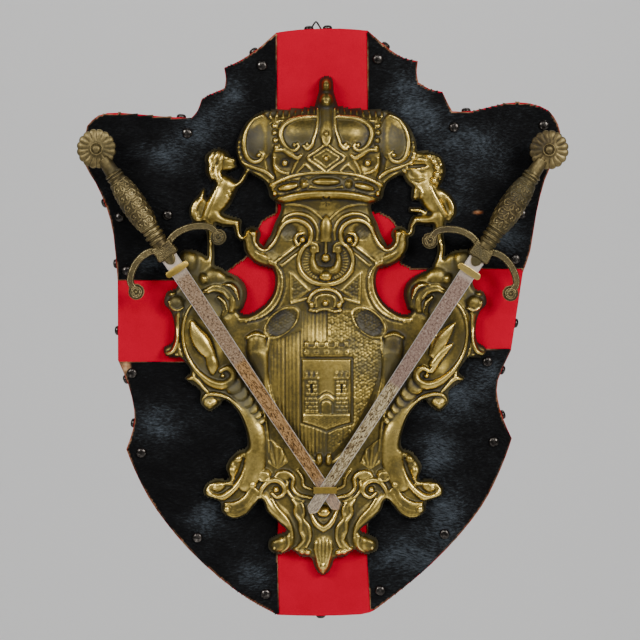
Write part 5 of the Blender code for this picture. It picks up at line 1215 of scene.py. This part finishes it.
def turned(profile, sides):
    """A profile of (station, radius) rows spun round the X axis."""
    shell = bmesh.new()
    spots = [shell.verts.new((station, 0.0, radius)) for station, radius in profile]
    edges = [shell.edges.new(pair) for pair in zip(spots, spots[1:])]
    bmesh.ops.spin(shell, geom=spots + edges, cent=(0, 0, 0), axis=(1, 0, 0), dvec=(0, 0, 0),
                   angle=2 * math.pi, steps=sides, use_merge=True, use_duplicate=False)
    bmesh.ops.remove_doubles(shell, verts=shell.verts, dist=0.0005)
    bmesh.ops.recalc_face_normals(shell, faces=shell.faces)
    return shell


def tack(name, radius, rise):
    """A domed nail head in the place and direction of its solid."""
    solid = solid_copy(name)
    base = max(solid.faces, key=lambda face: face.calc_area())
    foot, out = base.calc_center_median(), -base.normal
    solid.free()
    # a low upright rim, then a dome in eight steps, fuller than a ball's
    rows = [(0.0, 0.0), (0.0, radius), (0.18 * rise, radius)]
    for step in range(1, 8):
        turn = math.pi / 2 * step / 8
        rows.append((rise * (0.18 + 0.82 * math.sin(turn)), radius * math.cos(turn) ** 0.75))
    rows.append((rise, 0.0))
    shell = turned(rows, 28)
    turned_out = out.to_track_quat("X", "Y").to_matrix().to_4x4()
    shell.transform(Matrix.Translation(foot) @ turned_out @ Matrix.Scale(MM, 4))
    add_piece(name + "_head", shell, IRON, name)


def hanger():
    """Wire loop, rolled strip and its two nails, rounded from their solids."""
    for name, title in (("hanger_loop", "hanger_loop_wire"), ("hanger_plate", "hanger_plate_strip")):
        shell = solid_copy(name)
        sharp = [edge for edge in shell.edges if edge.calc_face_angle(0.0) > STEEP]
        bmesh.ops.bevel(shell, geom=sharp, offset=0.15 * MM, segments=2, affect="EDGES", profile=0.5,
                        material=-1)
        add_piece(title, shell, IRON, name)
    for number in (1, 2):
        tack(f"hanger_nail_{number}", 1.6, 1.2)


# Swords

def sword_matrix(name):
    """The sword's own frame: X runs down the blade from the pommel's centre and Z faces the viewer."""
    places = SWORDS[name]
    start = Vector((places["pommel"][0] - HANGER[0], -places["pommel_depth"],
                    HANGER[1] - places["pommel"][1]))
    finish = Vector((CROSSING[0] - HANGER[0], -places["crossing_depth"], HANGER[1] - CROSSING[1]))
    along = (finish - start).normalized()
    outward = (Vector((0, -1, 0)) + along * along.y).normalized()
    turn = Matrix((along, outward.cross(along), outward)).transposed().to_4x4()
    return Matrix.Translation(start * MM) @ turn


# Takes a relief's front, which looks along -Y, to the sword's Z
FACE_UP = Matrix(((1, 0, 0, 0), (0, 0, 1, 0), (0, -1, 0, 0), (0, 0, 0, 1)))
GRIP_RADIUS = 11.4              # mean radius of the chased part
HALF_GIRTH = 36.0               # how far its chasing is drawn to either side
CHASED = (34.0, 98.0)           # stations that the chasing is drawn between
BLADE_ROOT, BLADE_TIP = (128.3, 8.2), (427.0, 5.6)     # station and half width
# Neck, rings and grip: (station, radius)
GRIP = [
    (12, 0), (12, 6.2), (26, 7.0), (28.2, 7.4), (29, 8.6), (30.6, 9.2), (31.6, 8.0), (32.4, 8.0),
    (33.2, 9.2), (34.8, 8.8), (36, 8.0), (38, 8.8), (50, 11.4), (65, 12.4), (80, 11.8), (92, 9.6),
    (94.6, 8.8), (95.4, 8.0), (96.4, 9.2), (98.4, 9.2), (99.2, 8.0), (100.4, 8.0), (101.2, 9.8),
    (103.6, 9.8), (104.6, 8.0), (106, 7.8), (107.2, 9.0), (109.4, 9.0), (110.4, 8.0), (115, 8.0),
    (115, 0),
]


def chasing():
    """Height of the chased scrolls on the grip, over (distance round it, station)."""
    field = Relief(-HALF_GIRTH, CHASED[0], HALF_GIRTH, CHASED[1], 0.4)
    field.fold(0.0)
    for edge in (39.0, 93.0):
        field.stroke([(-3, edge, 0.6), (20, edge, 0.6), (38, edge, 0.6)], 0.7)
    for number in range(5):
        middle = 45.0 + 10.4 * number
        field.stroke([(0, middle - 5, 0.9), (3.0, middle - 3.4, 1.0), (7.4, middle - 3.6, 1.0),
                      (9.6, middle, 1.0), (7.6, middle + 2.8, 1.0), (4.8, middle + 1.6, 0.8)], 1.1)
        field.dome((6.0, middle - 0.2), (1.3, 1.3), 1.3)
        field.stroke([(0.0, middle - 1.5, 0.8), (1.6, middle + 2.4, 1.1), (0.0, middle + 5.0, 0.8)], 1.0)
        field.stroke([(9.6, middle + 1, 0.7), (12.6, middle + 3.4, 1.0), (12.8, middle + 6.4, 0.6)], 0.9)
        field.stroke([(17, middle - 5, 0.9), (20, middle - 2, 1.0), (17.5, middle + 2, 1.0),
                      (15, middle, 0.7)], 0.9)
        field.dome((24, middle + 1), (2.2, 3.4), 0.8)
        field.dome((31, middle - 2), (2.6, 2.6), 0.8)
    field.carving += pebbles(1.5, 0.22, 4.0)(field.x, field.y)
    return field


def grip(chased):
    """Neck, rings and chased grip, turned about the sword's line."""
    # rows at most 0.45 mm apart, so that the chasing shows
    rows = []
    for (s0, r0), (s1, r1) in zip(GRIP, GRIP[1:]):
        parts = max(1, math.ceil(abs(s1 - s0) / 0.45))
        rows.extend((s0 + (s1 - s0) * k / parts, r0 + (r1 - r0) * k / parts) for k in range(parts))
    rows.append(GRIP[-1])
    shell = turned(rows, 150)
    last_row, last_column = (size - 1 for size in chased.x.shape)
    for spot in shell.verts:
        radius = math.hypot(spot.co.y, spot.co.z)
        # the rings at both ends stay plain, and so do the caps
        if not 38.0 < spot.co.x < 94.0 or radius < 1.0:
            continue
        round_it = math.atan2(spot.co.y, spot.co.z) * GRIP_RADIUS
        column = round((round_it + HALF_GIRTH) / chased.pitch)
        row = round((CHASED[1] - spot.co.x) / chased.pitch)
        lift = 0.75 * float(chased.carving[min(max(row, 0), last_row), min(max(column, 0), last_column)])
        spot.co.y *= 1.0 + lift / radius
        spot.co.z *= 1.0 + lift / radius
    return shell


def pommel():
    """A fluted shell like a scallop, both faces alike, with a ringed button."""
    profile = [(-3.9, 0), (-3.7, 6), (-3.2, 14), (-2.0, 18.2), (-0.6, 19.4), (0.6, 19.4), (2.0, 18.2),
               (3.2, 14), (3.4, 8.0), (3.9, 6.6), (4.3, 5.8), (3.9, 5.0), (4.0, 4.4), (5.4, 4.1),
               (6.5, 3.0), (7.0, 1.4), (7.1, 0)]
    rows = [tuple(row) for row in smooth_path(profile, 3)]
    rows[0], rows[-1] = (rows[0][0], 0.0), (rows[-1][0], 0.0)
    shell = turned(rows, 192)
    # sixteen flutes that run from the button to the rim
    button, fluted = 8.8, 10.6
    for spot in shell.verts:
        radius = math.hypot(spot.co.y, spot.co.z)
        if radius < button:
            continue
        ridge = abs(math.cos(8.0 * math.atan2(spot.co.y, spot.co.z))) ** 0.7
        share = (radius - button) / fluted
        spot.co.x *= 1.0 - 0.34 * (1.0 - ridge) * math.sin(math.pi * min(share, 1.0)) ** 0.6
        shrink = 1.0 - 0.07 * (1.0 - ridge) * share ** 3
        spot.co.y *= shrink
        spot.co.z *= shrink
    shell.transform(Matrix.Rotation(-math.pi / 2, 4, "Y"))
    return shell


def guard(discs):
    """The guard in relief: curved arms that end in ringed discs, each a separate flat-backed shell."""
    shells = []
    # an arm is drawn for a disc 48 mm from the blade's line, and stretched to its own
    for reach in discs:
        side, stretch = math.copysign(1.0, reach), abs(reach) / 48.0
        spine = [(116, 6), (113, 17), (114.5, 29), (120, 40), (128, 47.5), (139, 48)]
        rows = [(x, -side * y * stretch, 3.4) for x, y in spine]
        arm = Relief(104, -60, 150, 60, 0.5)
        arm.stroke(rows, 4.4, form="flat", base=0.6)
        path = smooth_path(rows, 3)
        ahead = np.gradient(path[:, :2], axis=0)
        ahead /= np.linalg.norm(ahead, axis=1)[:, None]
        for way in (-1, 1):
            line = path[:, :2] + way * 2.7 * np.stack([-ahead[:, 1], ahead[:, 0]], axis=1)
            arm.stroke([(x, y, 0.55) for x, y in line], 0.8)
        arm.carving += np.where(arm.inside > 0.8, pebbles(1.5, 0.45, 2.0)(arm.x, arm.y), 0.0)
        shells.append(relief_shell(arm, 3.6, 1.0, -2.8, (0.0, 0.0)))
        disc = Relief(128, -60, 150, 60, 0.4)
        spot = (139.0, -reach)
        disc.dome(spot, (7.7, 7.7), 5.2, form="flat", base=0.8)
        for radius, width, height in ((6.9, 0.7, 1.0), (5.2, 0.5, 0.7), (3.4, 0.6, 0.9)):
            disc.ring(spot, (radius, radius), width, height)
        disc.dome(spot, (1.7, 1.7), 1.8)
        for petal in range(8):
            turn = math.tau * petal / 8
            disc.dome((spot[0] + 4.3 * math.cos(turn), spot[1] + 4.3 * math.sin(turn)), (0.9, 0.9), 0.8)
        shells.append(relief_shell(disc, 4.4, 0.9, -3.3, (0.0, 0.0)))
    block = Relief(110, -12, 130, 12, 0.4)
    block.region([(113, -10.4), (120, -10.5), (128, -10.4), (128, 0), (128, 10.4), (120, 10.5), (113, 10.4),
                  (113, 0)])
    block.body[block.inside > -block.pitch] = 10.4
    block.carving += pebbles(1.7, 0.7, 6.0)(block.x, block.y)
    shells.append(relief_shell(block, 8.6, 1.6, -5.5, (0.0, 0.0)))
    tongue = Relief(122, -8, 138, 8, 0.4)
    tongue.stroke([(124, 0, 6.0), (129, 0, 5.6), (132, 0, 4.2), (134, 0, 1.4)], 1.6, form="flat", base=0.6)
    shells.append(relief_shell(tongue, 1.4, 0.8, 1.8, (0.0, 0.0)))
    for shell in shells:
        shell.transform(Matrix.Scale(1 / MM, 4) @ FACE_UP)
    return shells


def hilt(name, chased):
    """The cast hilt: fluted pommel, chased grip, block and guard."""
    whole = bmesh.new()
    for part in (pommel(), grip(chased), *guard(SWORDS[name]["discs"])):
        mesh = bpy.data.meshes.new("part")
        part.to_mesh(mesh)
        part.free()
        whole.from_mesh(mesh)
        bpy.data.meshes.remove(mesh)
    mark = whole.verts.layers.float.get("relief") or whole.verts.layers.float.new("relief")
    # what stands proud of its neighbours was rubbed bright
    whole.normal_update()
    for spot in whole.verts:
        rise = 0.0
        for edge in spot.link_edges:
            step = edge.other_vert(spot).co - spot.co
            rise -= step.normalized().dot(spot.normal) / max(len(spot.link_edges), 1)
        spot[mark] = min(1.0, max(0.0, 0.45 + 0.62 * rise))
    whole.transform(sword_matrix(name) @ Matrix.Scale(MM, 4))
    add_piece(f"hilt_{name}_cast", whole, BRONZE, f"hilt_{name}")


def blade(name):
    """The blade with a map that runs along it and a painted highlight marked along its edges."""
    shell = solid_copy(f"blade_{name}")
    local = sword_matrix(name).inverted()
    run = shell.loops.layers.uv.new("run")
    edge = shell.verts.layers.float.new("painted_edge_highlight")
    (root, root_half), (tip, tip_half) = BLADE_ROOT, BLADE_TIP
    # a painted highlight covers the outermost 0.35 mm of each edge
    for spot in shell.verts:
        station, across, _ = (local @ spot.co) / MM
        half = root_half + (tip_half - root_half) * (station - root) / (tip - root)
        spot[edge] = 1.0 if abs(across) > half - 0.35 else 0.0
    for face in shell.faces:
        for loop in face.loops:
            station, across, _ = (local @ loop.vert.co) / MM
            loop[run].uv = (station / 100.0, across / 100.0)
    add_piece(f"blade_{name}_strip", shell, STEEL[name], f"blade_{name}", smooth=False)


def staple(name, title, rubbed):
    """A staple with its edges rounded over, more or less rubbed bright."""
    shell = solid_copy(name)
    sharp = [edge for edge in shell.edges if edge.calc_face_angle(0.0) > STEEP]
    bmesh.ops.bevel(shell, geom=sharp, offset=0.4 * MM, segments=2, affect="EDGES", profile=0.5,
                    material=-1)
    mark = shell.verts.layers.float.new("relief")
    for spot in shell.verts:
        spot[mark] = rubbed
    add_piece(title, shell, STAPLE_BRASS, name, smooth=False)


# Studio

def backdrop():
    """A pale paper sweep, far enough back that no view reaches behind it."""
    shell = bmesh.new()
    rows = [(-6.0, -1.5), (3.0, -1.5)]
    for turn in np.linspace(0.1, 1.57, 14):
        rows.append((3.0 + 1.5 * math.sin(turn), -1.5 + 1.5 * (1 - math.cos(turn))))
    rows.append((4.5, 6.0))
    spots = [shell.verts.new((-7.0, y, z)) for y, z in rows]
    edges = [shell.edges.new(pair) for pair in zip(spots, spots[1:])]
    out = bmesh.ops.extrude_edge_only(shell, edges=edges)
    bmesh.ops.translate(shell, verts=[v for v in out["geom"] if isinstance(v, bmesh.types.BMVert)],
                        vec=(14.0, 0, 0))
    mesh = bpy.data.meshes.new("paper_sweep")
    shell.to_mesh(mesh)
    shell.free()
    mesh.shade_smooth()
    item = bpy.data.objects.new("paper_sweep", mesh)
    bpy.context.scene.collection.objects.link(item)
    material, _, shader = new_material("pale_studio_paper")
    shader.inputs["Base Color"].default_value = linear("#ECECEC")
    shader.inputs["Roughness"].default_value = 0.9
    mesh.materials.append(material)


def area_light(name, place, aim, size, watts, colour="#FFFFFF"):
    """A soft box at a place, aimed at another."""
    lamp = bpy.data.lights.new(name, "AREA")
    lamp.shape = "RECTANGLE"
    lamp.size, lamp.size_y = size
    lamp.energy = watts
    lamp.color = linear(colour)[:3]
    item = bpy.data.objects.new(name, lamp)
    bpy.context.scene.collection.objects.link(item)
    item.location = place
    item.rotation_mode = "QUATERNION"
    item.rotation_quaternion = (Vector(aim) - Vector(place)).to_track_quat("-Z", "Y")


def studio():
    """Soft boxes in front to the right and left, a weak one above, and the camera before the plaque."""
    middle = (0.0, 0.0, -0.30)
    area_light("key_right", (1.5, -2.1, 0.65), middle, (0.9, 0.9), 60.0, "#FFFCF8")
    area_light("key_left", (-1.6, -2.0, 0.75), middle, (0.9, 0.9), 44.0, "#FFFCF8")
    area_light("over_camera", (0.0, -2.7, 1.1), middle, (0.7, 0.5), 16.0)
    area_light("paper_wash", (0.0, 1.2, 3.4), (0.0, 4.4, -0.6), (4.0, 1.5), 108.0)
    world = bpy.data.worlds.new("studio_air")
    world.use_nodes = True
    world.node_tree.nodes["Background"].inputs["Color"].default_value = linear("#E9EAEC")
    world.node_tree.nodes["Background"].inputs["Strength"].default_value = 0.22
    bpy.context.scene.world = world
    lens = bpy.data.cameras.new("camera")
    # it frames 640 mm from 2.6 m away, looking down by 3 degrees, as the photograph does
    lens.lens = 146.25
    lens.sensor_width = 36.0
    item = bpy.data.objects.new("camera", lens)
    bpy.context.scene.collection.objects.link(item)
    turn = math.radians(3.0)
    target = Vector((4.0 * MM, -18.0 * MM, -297.0 * MM))
    back = Vector((0.0, -math.cos(turn), math.sin(turn)))
    item.location = target + back * 2.6
    item.rotation_mode = "QUATERNION"
    item.rotation_quaternion = (-back).to_track_quat("-Z", "Y")
    bpy.context.scene.camera = item


board()
felt()
for hide_name, bald_patches in HIDES.items():
    hide(hide_name, bald_patches)
coat_of_arms()
for tack_name in [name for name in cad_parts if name.startswith(("face_tack", "edge_tack"))]:
    tack(tack_name, *TACK_HEADS[tack_name[:4]])
hanger()
chased_grip = chasing()
for side, rubbed in (("left", 0.50), ("right", 0.70)):
    hilt(side, chased_grip)
    blade(side)
    staple(f"collar_{side}", f"collar_{side}_bar", rubbed)
staple("crossing_staple", "crossing_bar", 0.40)
backdrop()
studio()
